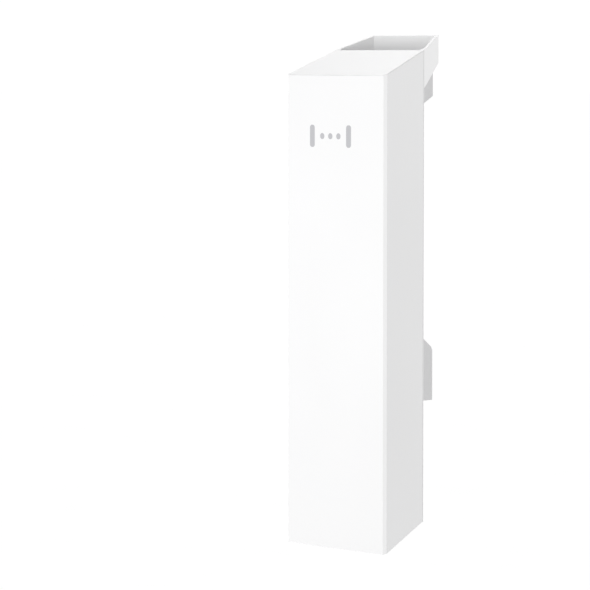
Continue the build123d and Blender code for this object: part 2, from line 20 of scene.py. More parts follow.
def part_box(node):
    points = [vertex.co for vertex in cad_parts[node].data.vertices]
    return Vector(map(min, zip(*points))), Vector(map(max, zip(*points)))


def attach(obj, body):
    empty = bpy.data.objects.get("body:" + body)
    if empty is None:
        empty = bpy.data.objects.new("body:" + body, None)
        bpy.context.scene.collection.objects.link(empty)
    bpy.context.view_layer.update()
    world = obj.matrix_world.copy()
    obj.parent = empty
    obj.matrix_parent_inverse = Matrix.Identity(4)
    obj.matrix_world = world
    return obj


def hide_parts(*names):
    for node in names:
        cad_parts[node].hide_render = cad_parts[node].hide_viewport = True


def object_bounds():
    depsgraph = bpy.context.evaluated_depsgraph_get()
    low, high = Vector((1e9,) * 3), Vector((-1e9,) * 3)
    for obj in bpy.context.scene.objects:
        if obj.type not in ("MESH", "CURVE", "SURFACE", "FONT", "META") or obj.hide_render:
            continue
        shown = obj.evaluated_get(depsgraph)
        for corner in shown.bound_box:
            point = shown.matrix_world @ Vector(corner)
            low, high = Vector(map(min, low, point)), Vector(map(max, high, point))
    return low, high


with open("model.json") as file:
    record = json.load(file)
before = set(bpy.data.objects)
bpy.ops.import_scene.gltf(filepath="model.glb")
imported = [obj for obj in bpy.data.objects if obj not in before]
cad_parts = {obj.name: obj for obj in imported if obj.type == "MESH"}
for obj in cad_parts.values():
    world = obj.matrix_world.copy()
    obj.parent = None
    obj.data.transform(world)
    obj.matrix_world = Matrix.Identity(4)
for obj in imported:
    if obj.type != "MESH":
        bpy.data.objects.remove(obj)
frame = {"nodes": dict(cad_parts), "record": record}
CAD_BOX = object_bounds()

LOG = logging.getLogger("wireless_bridge")
MM = 0.001
TOUCH = 1e-6
SHARP_TURN = math.radians(40)

Colour = tuple[float, float, float]
Corners = tuple[Vector, Vector]


class Body(Enum):
    """The bodies that the new pieces ride on."""

    HOUSING = "housing"
    BUTTON = "pair_button"
    SLIDER = "mode_slider"


class Way(Enum):
    """A direction of the frame."""

    FRONT = (0, -1, 0)
    REAR = (0, 1, 0)
    DOWN = (0, 0, -1)
    UP = (0, 0, 1)

    @property
    def vector(self) -> Vector:
        """The direction as a unit vector."""
        return Vector(self.value)


def solid_boxes(node: str) -> list[Corners]:
    """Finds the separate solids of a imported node.

    Args:
        node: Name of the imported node.

    Returns:
        The lowest and highest corner of each solid, from left to right and from low to high.
    """
    shape = bmesh.new()
    shape.from_mesh(frame["nodes"][node].data)
    bmesh.ops.remove_doubles(shape, verts=shape.verts, dist=TOUCH)
    unseen = set(shape.verts)
    boxes = []
    while unseen:
        waiting = [unseen.pop()]
        points = []
        while waiting:
            vertex = waiting.pop()
            points.append(vertex.co.copy())
            beside = {edge.other_vert(vertex) for edge in vertex.link_edges} & unseen
            unseen -= beside
            waiting.extend(beside)
        boxes.append((Vector(map(min, zip(*points))), Vector(map(max, zip(*points)))))
    shape.free()
    return sorted(boxes, key=lambda box: (round(box[0].x, 5), round(box[0].z, 5)))


def middle(box: Corners) -> Vector:
    """The centre of a box."""
    return (box[0] + box[1]) / 2


def turned(origin: Vector, outward: Vector) -> Matrix:
    """Makes the placement of a piece that was modelled upright at the origin.

    Args:
        origin: Where the piece's own origin goes.
        outward: Where the piece's own +Z goes. Its +X stays along X.

    Returns:
        The matrix to transform the piece's mesh by.
    """
    across = Vector((1, 0, 0))
    up = outward.normalized()
    matrix = Matrix((across, up.cross(across), up)).transposed().to_4x4()
    matrix.translation = origin
    return matrix


def on_rear(box: Corners) -> Matrix:
    """Places an upright piece so that its top is the middle of a box's rear face."""
    return turned(Vector((middle(box).x, box[1].y, middle(box).z)), Way.REAR.vector)


def on_front(box: Corners) -> Matrix:
    """Places an upright piece so that its top is the middle of a box's front face."""
    return turned(Vector((middle(box).x, box[0].y, middle(box).z)), Way.FRONT.vector)


# --- The bench: how pieces are modelled --------------------------------------------------------


class Workpiece:
    """A mesh object that is shaped with the modelling operators.

    Attributes:
        obj: The object. It stays at the origin, and its place is in its mesh.
    """

    def __init__(self, obj: bpy.types.Object, name: str) -> None:
        """Takes over an object that was just added, and applies its placement."""
        self.obj = obj
        obj.name = name
        obj.data.name = name
        self.select()
        bpy.ops.object.transform_apply(location=True, rotation=True, scale=True)

    @classmethod
    def block(cls, name: str, low: Sequence[float], high: Sequence[float]) -> "Workpiece":
        """Adds a cuboid.

        Args:
            name: Name of the piece.
            low: Its lowest corner.
            high: Its highest corner.

        Returns:
            The new piece.
        """
        low, high = Vector(low), Vector(high)
        bpy.ops.object.select_all(action="DESELECT")
        bpy.ops.mesh.primitive_cube_add(size=1, location=(low + high) / 2, scale=high - low)
        return cls(bpy.context.active_object, name)

    @classmethod
    def rod(cls, name: str, radius: float, low: float, high: float, sides: int = 40,
            at: tuple[float, float] = (0, 0)) -> "Workpiece":
        """Adds an upright round rod.

        Args:
            name: Name of the piece.
            radius: Its radius.
            low: Z of its lower end.
            high: Z of its upper end.
            sides: How many sides stand for the circle.
            at: X and Y of its axis.

        Returns:
            The new piece.
        """
        bpy.ops.object.select_all(action="DESELECT")
        bpy.ops.mesh.primitive_cylinder_add(
            vertices=sides, radius=radius, depth=high - low, location=(*at, (low + high) / 2)
        )
        return cls(bpy.context.active_object, name)

    @classmethod
    def ring(cls, name: str, radius: float, thickness: float, centre: Sequence[float]) -> "Workpiece":
        """Adds a round ring that lies flat.

        Args:
            name: Name of the piece.
            radius: Radius of its centre line.
            thickness: Radius of its section.
            centre: Its centre.

        Returns:
            The new piece.
        """
        bpy.ops.object.select_all(action="DESELECT")
        bpy.ops.mesh.primitive_torus_add(
            major_radius=radius, minor_radius=thickness, major_segments=40, minor_segments=12,
            location=centre,
        )
        return cls(bpy.context.active_object, name)

    @classmethod
    def wire(cls, name: str, points: Sequence[Sequence[float]], radius: float) -> "Workpiece":
        """Adds a round wire along a smooth line.

        Args:
            name: Name of the piece.
            points: Control points of the line.
            radius: Radius of the wire.

        Returns:
            The new piece.
        """
        bpy.ops.object.select_all(action="DESELECT")
        bpy.ops.curve.primitive_nurbs_path_add()
        curve = bpy.context.active_object.data
        curve.splines.clear()
        spline = curve.splines.new("NURBS")
        spline.points.add(len(points) - 1)
        for point, place in zip(spline.points, points):
            point.co = (*place, 1)
        spline.order_u = 3
        spline.use_endpoint_u = True
        curve.resolution_u = 4
        curve.bevel_depth = radius
        curve.bevel_resolution = 2
        curve.use_fill_caps = True
        bpy.ops.object.convert(target="MESH")
        return cls(bpy.context.active_object, name)

    def select(self) -> None:
        """Makes this the only selected object."""
        bpy.ops.object.select_all(action="DESELECT")
        self.obj.select_set(True)
        bpy.context.view_layer.objects.active = self.obj

    @contextmanager
    def shaping(self) -> Iterator[None]:
        """Opens the mesh for the edit operators, with nothing selected."""
        self.select()
        bpy.ops.object.mode_set(mode="EDIT")
        bpy.ops.mesh.select_all(action="DESELECT")
        yield
        bpy.ops.object.mode_set(mode="OBJECT")

    def faces(self, test: Callable[[Vector, Vector], bool]) -> None:
        """Selects just the faces whose centre and normal pass the test."""
        bpy.ops.mesh.select_mode(type="FACE")
        bpy.ops.mesh.select_all(action="DESELECT")
        shape = bmesh.from_edit_mesh(self.obj.data)
        for face in shape.faces:
            face.select_set(test(face.calc_center_median(), face.normal))
        bmesh.update_edit_mesh(self.obj.data)

    def face_towards(self, way: Way) -> None:
        """Selects the faces that look along one direction and lie furthest that way."""
        shape = bmesh.from_edit_mesh(self.obj.data)
        facing = [f for f in shape.faces if f.normal.dot(way.vector) > 0.999]
        furthest = max(f.calc_center_median().dot(way.vector) for f in facing)
        self.faces(lambda centre, normal: normal.dot(way.vector) > 0.999
                   and centre.dot(way.vector) > furthest - TOUCH)

    def edges(self, test: Callable[[Vector, Vector], bool]) -> None:
        """Selects just the edges whose two ends pass the test."""
        bpy.ops.mesh.select_mode(type="EDGE")
        bpy.ops.mesh.select_all(action="DESELECT")
        shape = bmesh.from_edit_mesh(self.obj.data)
        for edge in shape.edges:
            edge.select_set(test(edge.verts[0].co, edge.verts[1].co))
        bmesh.update_edit_mesh(self.obj.data)

    def inset(self, thickness: float) -> None:
        """Insets the selected faces as one region."""
        bpy.ops.mesh.inset(thickness=thickness)

    def extrude(self, move: Vector) -> None:
        """Extrudes the selected faces along a move."""
        bpy.ops.mesh.extrude_region_move(TRANSFORM_OT_translate={"value": move})

    def resize(self, factors: Sequence[float], about: Sequence[float]) -> None:
        """Scales what is selected about a point."""
        bpy.ops.transform.resize(value=factors, center_override=about)

    def bevel(self, width: float, segments: int = 2) -> None:
        """Bevels the selected edges."""
        bpy.ops.mesh.bevel(offset=width, segments=segments, affect="EDGES")

    def round_rim(self, width: float, segments: int) -> None:
        """Bevels the rim of the upper end, which lies at Z 0."""
        self.edges(lambda a, b: min(a.z, b.z) > -TOUCH)
        self.bevel(width, segments)

    def step(self, way: Way, inset: float, rise: float) -> None:
        """Steps the outermost face: insets it, then moves the inner face out or in.

        Args:
            way: Direction that the face looks in.
            inset: Width of the step.
            rise: How far the inner face moves outwards, or inwards if negative.
        """
        self.face_towards(way)
        self.inset(inset)
        self.extrude(way.vector * rise)

    def modify(self, kind: str, **settings: object) -> None:
        """Adds a modifier and applies it.

        Args:
            kind: The modifier's type.
            **settings: Its properties.
        """
        modifier = self.obj.modifiers.new(kind.lower(), kind)
        for key, value in settings.items():
            setattr(modifier, key, value)
        self.select()
        bpy.ops.object.modifier_apply(modifier=modifier.name)

    def cut(self, *cutters: "Workpiece") -> None:
        """Cuts other pieces out of this one, and uses them up."""
        self._combine("DIFFERENCE", cutters)

    def fuse(self, *others: "Workpiece") -> None:
        """Fuses other pieces with this one, and uses them up."""
        self._combine("UNION", others)

    def _combine(self, operation: str, others: Sequence["Workpiece"]) -> None:
        """Applies one boolean for each of the other pieces."""
        for other in others:
            self.modify("BOOLEAN", operation=operation, solver="EXACT", object=other.obj)
            bpy.data.objects.remove(other.obj)

    def soften(self, width: float, segments: int = 2) -> None:
        """Rounds every edge that turns by more than SHARP_TURN."""
        self.modify("BEVEL", width=width, segments=segments, limit_method="ANGLE",
                    angle_limit=SHARP_TURN, use_clamp_overlap=True)

    def move(self, matrix: Matrix) -> None:
        """Transforms the mesh, and leaves the object at the origin."""
        self.obj.data.transform(matrix)
        self.obj.data.update()

    def copy(self, name: str, matrix: Matrix) -> "Workpiece":
        """Copies the piece with a mesh of its own.

        Args:
            name: Name of the copy.
            matrix: Where the copy goes.

        Returns:
            The copy.
        """
        twin = bpy.data.objects.new(name, self.obj.data.copy())
        bpy.context.scene.collection.objects.link(twin)
        piece = Workpiece(twin, name)
        piece.move(matrix)
        return piece

    def join(self, *others: "Workpiece") -> None:
        """Adds other pieces to this one's mesh as separate islands."""
        if not others:
            return
        self.select()
        for other in others:
            other.obj.select_set(True)
        bpy.ops.object.join()

    def close(self) -> None:
        """Merges doubled points, fills open ends and turns every face outwards."""
        with self.shaping():
            bpy.ops.mesh.select_all(action="SELECT")
            bpy.ops.mesh.remove_doubles(threshold=TOUCH)
            bpy.ops.mesh.fill_holes(sides=0)
            bpy.ops.mesh.normals_make_consistent(inside=False)

    def repeated(self, name: str, places: Sequence[Matrix]) -> "Workpiece":
        """Copies this model to several places, and uses it up.

        Args:
            name: Name of the piece that the copies make together.
            places: Where each copy goes.

        Returns:
            All the copies as one piece.
        """
        copies = [self.copy(f"{name}_{i}", place) for i, place in enumerate(places)]
        bpy.data.objects.remove(self.obj)
        copies[0].join(*copies[1:])
        copies[0].obj.name = name
        return copies[0]

    def hand_over(self, finish: "Finish", body: Body = Body.HOUSING, replaces: Sequence[str] = ()) -> None:
        """Finishes the piece: shading, material, body and the nodes that it stands for.

        Args:
            finish: The finish that it gets.
            body: The body that it rides on.
            replaces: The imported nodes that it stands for.
        """
        self.select()
        bpy.ops.object.shade_smooth_by_angle(angle=math.radians(35))
        self.obj.data.materials.clear()
        self.obj.data.materials.append(finish.material())
        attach(self.obj, body.value)
        if replaces:
            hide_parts(*replaces)
        LOG.info("%s: %d faces, %s, on %s", self.obj.name, len(self.obj.data.polygons),
                 finish.name, body.value)


# --- Finishes ---------------------------------------------------------------------------------


class Graph:
    """The node graph of one procedural material.

    Attributes:
        material: The material.
        shader: Its principled shader.
        place: Object coordinates, in metres.
    """

    def __init__(self, name: str) -> None:
        """Makes the material with its shader and coordinates."""
        self.material = bpy.data.materials.new(name)
        self.material.use_nodes = True
        self.tree = self.material.node_tree
        self.shader = self.tree.nodes["Principled BSDF"]
        self.place = self.add("ShaderNodeTexCoord").outputs["Object"]

    def add(self, kind: str, inputs: dict[str, object] | None = None, **settings: object) -> bpy.types.Node:
        """Adds a node.

        Args:
            kind: The node's type.
            inputs: Links or plain values for its input sockets.
            **settings: Its properties.

        Returns:
            The node.
        """
        node = self.tree.nodes.new(kind)
        for key, value in settings.items():
            setattr(node, key, value)
        for key, value in (inputs or {}).items():
            self.feed(node.inputs[key], value)
        return node

    def feed(self, socket: bpy.types.NodeSocket, value: object) -> None:
        """Links an output to a socket, or sets the socket's own value."""
        if isinstance(value, bpy.types.NodeSocket):
            self.tree.links.new(value, socket)
        else:
            socket.default_value = value

    def stretched(self, factors: Colour, centre: Sequence[float] = (0, 0, 0)) -> bpy.types.NodeSocket:
        """Object coordinates measured from a centre and scaled along each axis.

        Args:
            factors: Scale along X, Y and Z.
            centre: The point that becomes zero.

        Returns:
            The new coordinates.
        """
        shift = [-c * f for c, f in zip(centre, factors)]
        return self.add("ShaderNodeMapping", {"Vector": self.place, "Scale": factors,
                                              "Location": shift}).outputs["Vector"]

    def noise(self, size: float, detail: float = 2, place: bpy.types.NodeSocket | None = None
              ) -> bpy.types.NodeSocket:
        """Soft noise.

        Args:
            size: Size of its features in metres.
            detail: How many finer layers it has.
            place: Coordinates, if not the plain object ones.

        Returns:
            Values round 0.5.
        """
        return self.add("ShaderNodeTexNoise", {"Vector": place or self.place, "Scale": 1 / size,
                                               "Detail": detail}).outputs["Fac"]

    def cells(self, size: float) -> bpy.types.NodeSocket:
        """Distances in a pattern of cells of one size in metres."""
        return self.add("ShaderNodeTexVoronoi", {"Vector": self.place, "Scale": 1 / size},
                        feature="F1").outputs["Distance"]

    def spread(self, value: bpy.types.NodeSocket, low: float, high: float,
               start: float = 0.3, end: float = 0.7) -> bpy.types.NodeSocket:
        """Maps a value from one range to another.

        Args:
            value: The value.
            low: Result at the range's start.
            high: Result at the range's end.
            start: Start of the range.
            end: End of the range.

        Returns:
            The mapped value, kept between its limits.
        """
        return self.add("ShaderNodeMapRange", {"Value": value, "From Min": start, "From Max": end,
                                               "To Min": low, "To Max": high}).outputs["Result"]

    def maths(self, operation: str, first: object, second: object = 0.0) -> bpy.types.NodeSocket:
        """One sum of two values.

        Args:
            operation: The operation's name.
            first: Its first value.
            second: Its second value.

        Returns:
            The result.
        """
        node = self.add("ShaderNodeMath", operation=operation)
        self.feed(node.inputs[0], first)
        self.feed(node.inputs[1], second)
        return node.outputs[0]

    def blend(self, share: bpy.types.NodeSocket, dark: Colour, light: Colour) -> bpy.types.NodeSocket:
        """A colour between two others.

        Args:
            share: 0 for the first colour, 1 for the second.
            dark: The first colour.
            light: The second colour.

        Returns:
            The colour.
        """
        node = self.add("ShaderNodeValToRGB", {"Fac": share})
        node.color_ramp.elements[0].color = (*dark, 1)
        node.color_ramp.elements[1].color = (*light, 1)
        return node.outputs["Color"]

    def relief(self, height: bpy.types.NodeSocket, depth: float,
               under: bpy.types.NodeSocket | None = None) -> bpy.types.NodeSocket:
        """A bumped normal.

        Args:
            height: Height from 0 to 1.
            depth: What a height of 1 is in metres.
            under: A normal that this one is laid on.

        Returns:
            The normal.
        """
        inputs = {"Height": height, "Distance": depth, "Strength": 1.0}
        if under:
            inputs["Normal"] = under
        return self.add("ShaderNodeBump", inputs).outputs["Normal"]

    def coat(self, colour: object, roughness: object, normal: bpy.types.NodeSocket | None = None,
             **plain: object) -> bpy.types.Material:
        """Feeds the shader.

        Args:
            colour: Base colour, a link or a plain colour.
            roughness: Roughness, a link or a plain value.
            normal: Bumped normal.
            **plain: Plain values of other sockets, with _ for a space.

        Returns:
            The finished material.
        """
        self.feed(self.shader.inputs["Base Color"], colour)
        self.feed(self.shader.inputs["Roughness"], roughness)
        if normal:
            self.feed(self.shader.inputs["Normal"], normal)
        for key, value in plain.items():
            self.shader.inputs[key.replace("_", " ")].default_value = value
        return self.material


def shade(colour: Colour, factor: float) -> Colour:
    """A colour made darker or lighter."""
    return tuple(min(1.0, channel * factor) for channel in colour)


@dataclass(frozen=True)
class Finish:
    """What every finish has.

    Attributes:
        name: Name of its material.
        slot: The record's material slot that it belongs to. It is not used.
        colour: Its main colour.
    """

    name: str
    slot: str
    colour: Colour

    def material(self) -> bpy.types.Material:
        """The material, made the first time that it is asked for."""
        return bpy.data.materials.get(self.name) or self.paint(Graph(self.name))

    def paint(self, graph: Graph) -> bpy.types.Material:
        """Builds the material in a fresh graph."""
        raise NotImplementedError


@dataclass(frozen=True)
class MouldedPlastic(Finish):
    """Injection-moulded plastic with an even spark-eroded grain.

    Attributes:
        roughness: Middle of its roughness.
        grain: Size of the grain.
        depth: Depth of the grain.
        drift: How much the colour drifts over the moulding.
    """

    roughness: float = 0.42
    grain: float = 0.45 * MM
    depth: float = 0.006 * MM
    drift: float = 0.012

    def paint(self, graph: Graph) -> bpy.types.Material:
        """Slow colour drift, fine grain in gloss and height, and a faint flow unevenness."""
        flow = graph.noise(40 * MM, 1)
        grain = graph.noise(self.grain, 3)
        colour = graph.blend(graph.spread(flow, 0, 1), shade(self.colour, 1 - self.drift), self.colour)
        roughness = graph.spread(grain, self.roughness - 0.05, self.roughness + 0.05)
        waves = graph.relief(flow, 0.02 * MM)
        return graph.coat(colour, roughness, graph.relief(grain, self.depth, waves))


@dataclass(frozen=True)
class Rubber(Finish):
    """Moulded elastomer: dull, slightly dusty, with a pebbled skin."""

    def paint(self, graph: Graph) -> bpy.types.Material:
        """Pebbles for the skin, and a paler bloom in patches."""
        bloom = graph.spread(graph.noise(5 * MM, 3), 0, 1)
        pebbles = graph.cells(0.5 * MM)
        roughness = graph.spread(bloom, 0.62, 0.82, 0, 1)
        return graph.coat(graph.blend(bloom, self.colour, shade(self.colour, 1.35)), roughness,
                          graph.relief(pebbles, 0.02 * MM), Specular_IOR_Level=0.35)


@dataclass(frozen=True)
class Metal(Finish):
    """Bare or plated metal with drawn lines and handling marks.

    Attributes:
        roughness: Middle of its roughness.
        lines: Scale of the drawn lines along X, Y and Z: small along the lines.
    """

    roughness: float = 0.3
    lines: Colour = (1, 1, 0.05)

    def paint(self, graph: Graph) -> bpy.types.Material:
        """Drawn lines in gloss and height over slow stains."""
        drawn = graph.noise(0.12 * MM, 2, graph.stretched(self.lines))
        stains = graph.spread(graph.noise(3 * MM, 3), 0, 1)
        colour = graph.blend(stains, shade(self.colour, 0.86), self.colour)
        roughness = graph.spread(drawn, self.roughness - 0.08, self.roughness + 0.1)
        return graph.coat(colour, roughness, graph.relief(drawn, 0.004 * MM), Metallic=1.0)


@dataclass(frozen=True)
class ClearPlastic(Finish):
    """Polished clear plastic with faint flow lines."""

    def paint(self, graph: Graph) -> bpy.types.Material:
        """Transparent, with flow lines along its length."""
        flow = graph.noise(0.8 * MM, 1, graph.stretched((1, 0.2, 1)))
        tone = graph.blend(graph.spread(flow, 0, 1), shade(self.colour, 0.94), self.colour)
        return graph.coat(tone, graph.spread(flow, 0.05, 0.14), graph.relief(flow, 0.01 * MM),
                          Transmission_Weight=0.85, IOR=1.49)


@dataclass(frozen=True)
class PrintedInk(Finish):
    """Pad-printed ink: an even film with tiny pinholes."""

    def paint(self, graph: Graph) -> bpy.types.Material:
        """Ink that thins slightly from place to place."""
        film = graph.spread(graph.noise(0.35 * MM, 4), 0, 1)
        colour = graph.blend(film, self.colour, shade(self.colour, 1.08))
        return graph.coat(colour, graph.spread(film, 0.5, 0.62, 0, 1), graph.relief(film, 0.004 * MM))


@dataclass(frozen=True)
class LabelFilm(Finish):
    """A blank label: matt film with a printed frame and three empty rules.

    Attributes:
        node: The node whose box the print is laid out in.
        ink: Colour of the print.
        margin: Distance of the frame from the label's edge.
        line: Width of the frame's line.
    """

    node: str = "rating_plate"
    ink: Colour = (0.34, 0.35, 0.37)
    margin: float = 2.2 * MM
    line: float = 0.3 * MM

    def paint(self, graph: Graph) -> bpy.types.Material:
        """A frame at one distance inside the edge, and rules across the lower half."""
        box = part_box(self.node)
        half = (box[1] - box[0]) / 2
        local = graph.add("ShaderNodeSeparateXYZ", {"Vector": graph.stretched((1, 1, 1), middle(box))})
        across = graph.maths("SUBTRACT", half.x, graph.maths("ABSOLUTE", local.outputs["X"]))
        upright = graph.maths("SUBTRACT", half.z, graph.maths("ABSOLUTE", local.outputs["Z"]))
        inside = graph.maths("MINIMUM", across, upright)
        frame_line = graph.maths("COMPARE", inside, self.margin)
        graph.feed(frame_line.node.inputs[2], self.line / 2)
        print_on = frame_line
        for level in (-0.25, -0.45, -0.65):
            rule = graph.maths("COMPARE", local.outputs["Z"], level * half.z)
            graph.feed(rule.node.inputs[2], self.line / 3)
            within = graph.maths("GREATER_THAN", across, 2 * self.margin)
            print_on = graph.maths("MAXIMUM", print_on, graph.maths("MULTIPLY", rule, within))
        paper = graph.noise(0.3 * MM, 3)
        return graph.coat(graph.blend(print_on, self.colour, self.ink), graph.spread(paper, 0.45, 0.6),
                          graph.relief(paper, 0.004 * MM))


@dataclass(frozen=True)
class CircuitLaminate(Finish):
    """A printed circuit board: solder mask over routed copper.

    Attributes:
        copper: Colour of the mask where copper lies under it.
        pitch: Distance between neighbouring tracks.
    """

    copper: Colour = (0.05, 0.3, 0.16)
    pitch: float = 1.1 * MM

    def paint(self, graph: Graph) -> bpy.types.Material:
        """Blocky routing from square cells."""
        routes = graph.add("ShaderNodeTexVoronoi", {"Vector": graph.place, "Scale": 0.35 / self.pitch,
                                                    "Randomness": 0.75},
                           feature="F1", distance="CHEBYCHEV").outputs["Distance"]
        bands = graph.maths("PINGPONG", graph.maths("MULTIPLY", routes, 5.0), 1.0)
        tracks = graph.spread(bands, 0, 1, 0.45, 0.55)
        colour = graph.blend(tracks, self.colour, self.copper)
        return graph.coat(colour, graph.spread(graph.noise(2 * MM), 0.25, 0.38),
                          graph.relief(tracks, 0.03 * MM))


@dataclass(frozen=True)
class Jacket(Finish):
    """The smooth jacket of a thin coax lead, with the braid showing faintly through it."""

    def paint(self, graph: Graph) -> bpy.types.Material:
        """Fine crossing braid in the height and the gloss."""
        braid = graph.maths("MULTIPLY", graph.add("ShaderNodeTexWave", {"Vector": graph.place,
                            "Scale": 600.0, "Distortion": 1.5}, bands_direction="DIAGONAL").outputs["Fac"],
                            graph.noise(0.4 * MM))
        return graph.coat(graph.blend(braid, self.colour, shade(self.colour, 1.6)),
                          graph.spread(braid, 0.3, 0.42, 0, 1), graph.relief(braid, 0.03 * MM))


CASE_WHITE = MouldedPlastic("satin_white_case", "case_plastic", (0.875, 0.875, 0.878))
# Painted shade: the saddles are the case's white plastic, darkened to paint the shade that the body and hood
# cast on them.
SADDLE_WHITE_PAINTED_SHADE = MouldedPlastic("satin_white_saddle_painted_shade", "saddle_plastic", (0.7, 0.7, 0.705), 0.45)
MARK_GREY = PrintedInk("printed_grey_mark", "mark_ink", (0.475, 0.475, 0.495))
LABEL = LabelFilm("blank_label_film", "label_film", (0.78, 0.79, 0.8))
SEAL_RUBBER = Rubber("dark_seal_rubber", "seal_rubber", (0.035, 0.035, 0.037))
GAP_FILLER = Rubber("soft_gap_filler", "pad_rubber", (0.2, 0.26, 0.34))
STAINLESS = Metal("plain_stainless", "screw_steel", (0.6, 0.6, 0.61))
TRIM_GREY = MouldedPlastic("dark_grey_trim", "trim_plastic", (0.085, 0.086, 0.09), 0.48)
CLEAR_GUIDE = ClearPlastic("clear_light_guide", "light_guide", (0.9, 0.95, 0.97))
CONTROL_GREY = MouldedPlastic("mid_grey_control", "control_plastic", (0.16, 0.165, 0.175), 0.4)
SWITCH_BLACK = MouldedPlastic("matt_black_switch", "black_plastic", (0.018, 0.018, 0.02), 0.5)
JACK_BLACK = MouldedPlastic("smooth_black_jack", "jack_plastic", (0.022, 0.022, 0.025), 0.3,
                            depth=0.003 * MM)
GOLD = Metal("gold_contact", "contact_metal", (0.9, 0.66, 0.28), 0.2)
PATCH_COPPER = Metal("washed_patch_copper", "patch_metal", (0.87, 0.6, 0.33), 0.32)
BOARD_GREEN = CircuitLaminate("green_circuit_board", "board_laminate", (0.012, 0.13, 0.065))
BARE_LAMINATE = CircuitLaminate("bare_antenna_laminate", "antenna_laminate", (0.62, 0.6, 0.48),
                                (0.66, 0.64, 0.53))
TINNED_SHEET = Metal("tinned_shield_sheet", "shield_metal", (0.7, 0.71, 0.71), 0.34, (0.05, 1, 1))
ROLLED_ALUMINIUM = Metal("rolled_aluminium", "plate_aluminium", (0.78, 0.79, 0.8), 0.36, (1, 1, 0.04))
CAN_ALUMINIUM = Metal("capacitor_aluminium", "can_aluminium", (0.72, 0.73, 0.75), 0.28, (1, 0.05, 1))
LED_LENS = ClearPlastic("unlit_led_lens", "led_lens", (0.55, 0.85, 0.62))
NYLON = MouldedPlastic("natural_nylon", "nylon", (0.8, 0.78, 0.7), 0.5)
LEAD_BLACK = Jacket("black_lead_jacket", "lead_jacket", (0.03, 0.03, 0.033))


def dress(finish: Finish, *nodes: str) -> None:
    """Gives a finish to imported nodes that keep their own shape."""
    for node in nodes:
        mesh = frame["nodes"][node].data
        mesh.materials.clear()
        mesh.materials.append(finish.material())
        LOG.info("%s: packed shape, %s", node, finish.name)


# --- Fasteners --------------------------------------------------------------------------------


class Head(Enum):
    """Shapes of a screw's head."""

    PAN = "pan"
    COUNTERSUNK = "countersunk"
    HEXAGON = "hexagon"


@dataclass(frozen=True)
class Screw:
    """A cross-recess screw, modelled upright: its head ends at zero and its shank points down.

    Attributes:
        head: Shape of the head.
        head_radius: Its radius.
        head_height: Its height.
        shank_radius: Outer radius of the thread.
        shank_length: Length of the shank, from under the head.
    """

    head: Head
    head_radius: float
    head_height: float
    shank_radius: float
    shank_length: float

    def model(self, name: str) -> Workpiece:
        """Models the screw.

        Args:
            name: Name of the piece.

        Returns:
            The screw, with its head's top at the origin.
        """
        sides = 6 if self.head is Head.HEXAGON else 40
        screw = Workpiece.rod(name, self.head_radius, -self.head_height, 0, sides)
        with screw.shaping():
            if self.head is Head.COUNTERSUNK:
                screw.face_towards(Way.DOWN)
                taper = (self.head_radius - self.head_height * 0.7) / self.head_radius
                screw.resize((taper, taper, 1), (0, 0, -self.head_height))
            screw.round_rim(self.head_height * (0.45 if self.head is Head.PAN else 0.12), 4)
        screw.cut(*self._recess())
        screw.join(self._thread(name + "_thread"))
        return screw

    def _recess(self) -> list[Workpiece]:
        """Two crossed wedges that cut the driver's recess."""
        long, narrow = self.head_radius * 0.58, self.head_radius * 0.14
        floor = -self.head_height * 0.62
        wedges = []
        for x, y in ((long, narrow), (narrow, long)):
            wedge = Workpiece.block("wedge", (-x, -y, floor), (x, y, self.head_height))
            with wedge.shaping():
                wedge.face_towards(Way.DOWN)
                wedge.resize((0.5, 0.5, 1), (0, 0, floor))
            wedges.append(wedge)
        return wedges

    def _thread(self, name: str) -> Workpiece:
        """A V thread, turned from its profile by a helix.

        Args:
            name: Name of the piece.

        Returns:
            The closed shank, from just inside the head down to its tip.
        """
        pitch = self.shank_radius * 0.5
        depth = pitch * 0.45
        turns = round((self.shank_length + self.head_height * 0.2) / pitch)
        bpy.ops.object.select_all(action="DESELECT")
        bpy.ops.mesh.primitive_circle_add(vertices=3, radius=1)
        shank = Workpiece(bpy.context.active_object, name)
        upright = Matrix.Rotation(math.pi / 2, 4, "X") @ Matrix.Rotation(-math.pi / 2, 4, "Z")
        size = Matrix.Diagonal((depth / 1.5, 1, pitch / math.sqrt(3), 1))
        out = Matrix.Translation((self.shank_radius - depth * 2 / 3, 0, 0))
        shank.move(out @ size @ upright)
        with shank.shaping():
            shank.edges(lambda a, b: max(a.x, b.x) < self.shank_radius - depth / 2)
            bpy.ops.mesh.delete(type="EDGE")
        shank.modify("SCREW", axis="Z", angle=2 * math.pi, screw_offset=pitch, iterations=turns,
                     steps=14, render_steps=14, use_merge_vertices=True)
        shank.close()
        shank.move(Matrix.Translation((0, 0, -self.head_height * 0.8 - turns * pitch)))
        return shank

    def fit(self, name: str, seats: Sequence[Matrix], finish: Finish, replaces: Sequence[str]) -> None:
        """Puts one screw at each seat, all in one piece.

        Args:
            name: Name of the piece.
            seats: Where each screw's head has its top.
            finish: Their finish.
            replaces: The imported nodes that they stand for.
        """
        screws = self.model(name + "_master").repeated(name, seats)
        screws.hand_over(finish, replaces=replaces)


# --- Sub-assemblies ---------------------------------------------------------------------------


@dataclass
class Casing:
    """The white mouldings, the saddles and the mark inlaid in the front."""

    mouldings: tuple[str, ...] = ("front_shell", "rear_cover", "mount_hood", "port_cover")
    saddles: tuple[str, ...] = ("upper_saddle", "lower_saddle")

    def build(self) -> None:
        """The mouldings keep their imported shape."""

    def dress(self) -> None:
        """White satin plastic, a darker copy of it on the saddles that paints the shade they sit in, the
        printed mark and the gasket.
        """
        dress(CASE_WHITE, *self.mouldings)
        # Painted shade: the saddles get a darker copy of the case white.
        dress(SADDLE_WHITE_PAINTED_SHADE, *self.saddles)
        dress(MARK_GREY, "front_mark")
        dress(SEAL_RUBBER, "case_gasket")


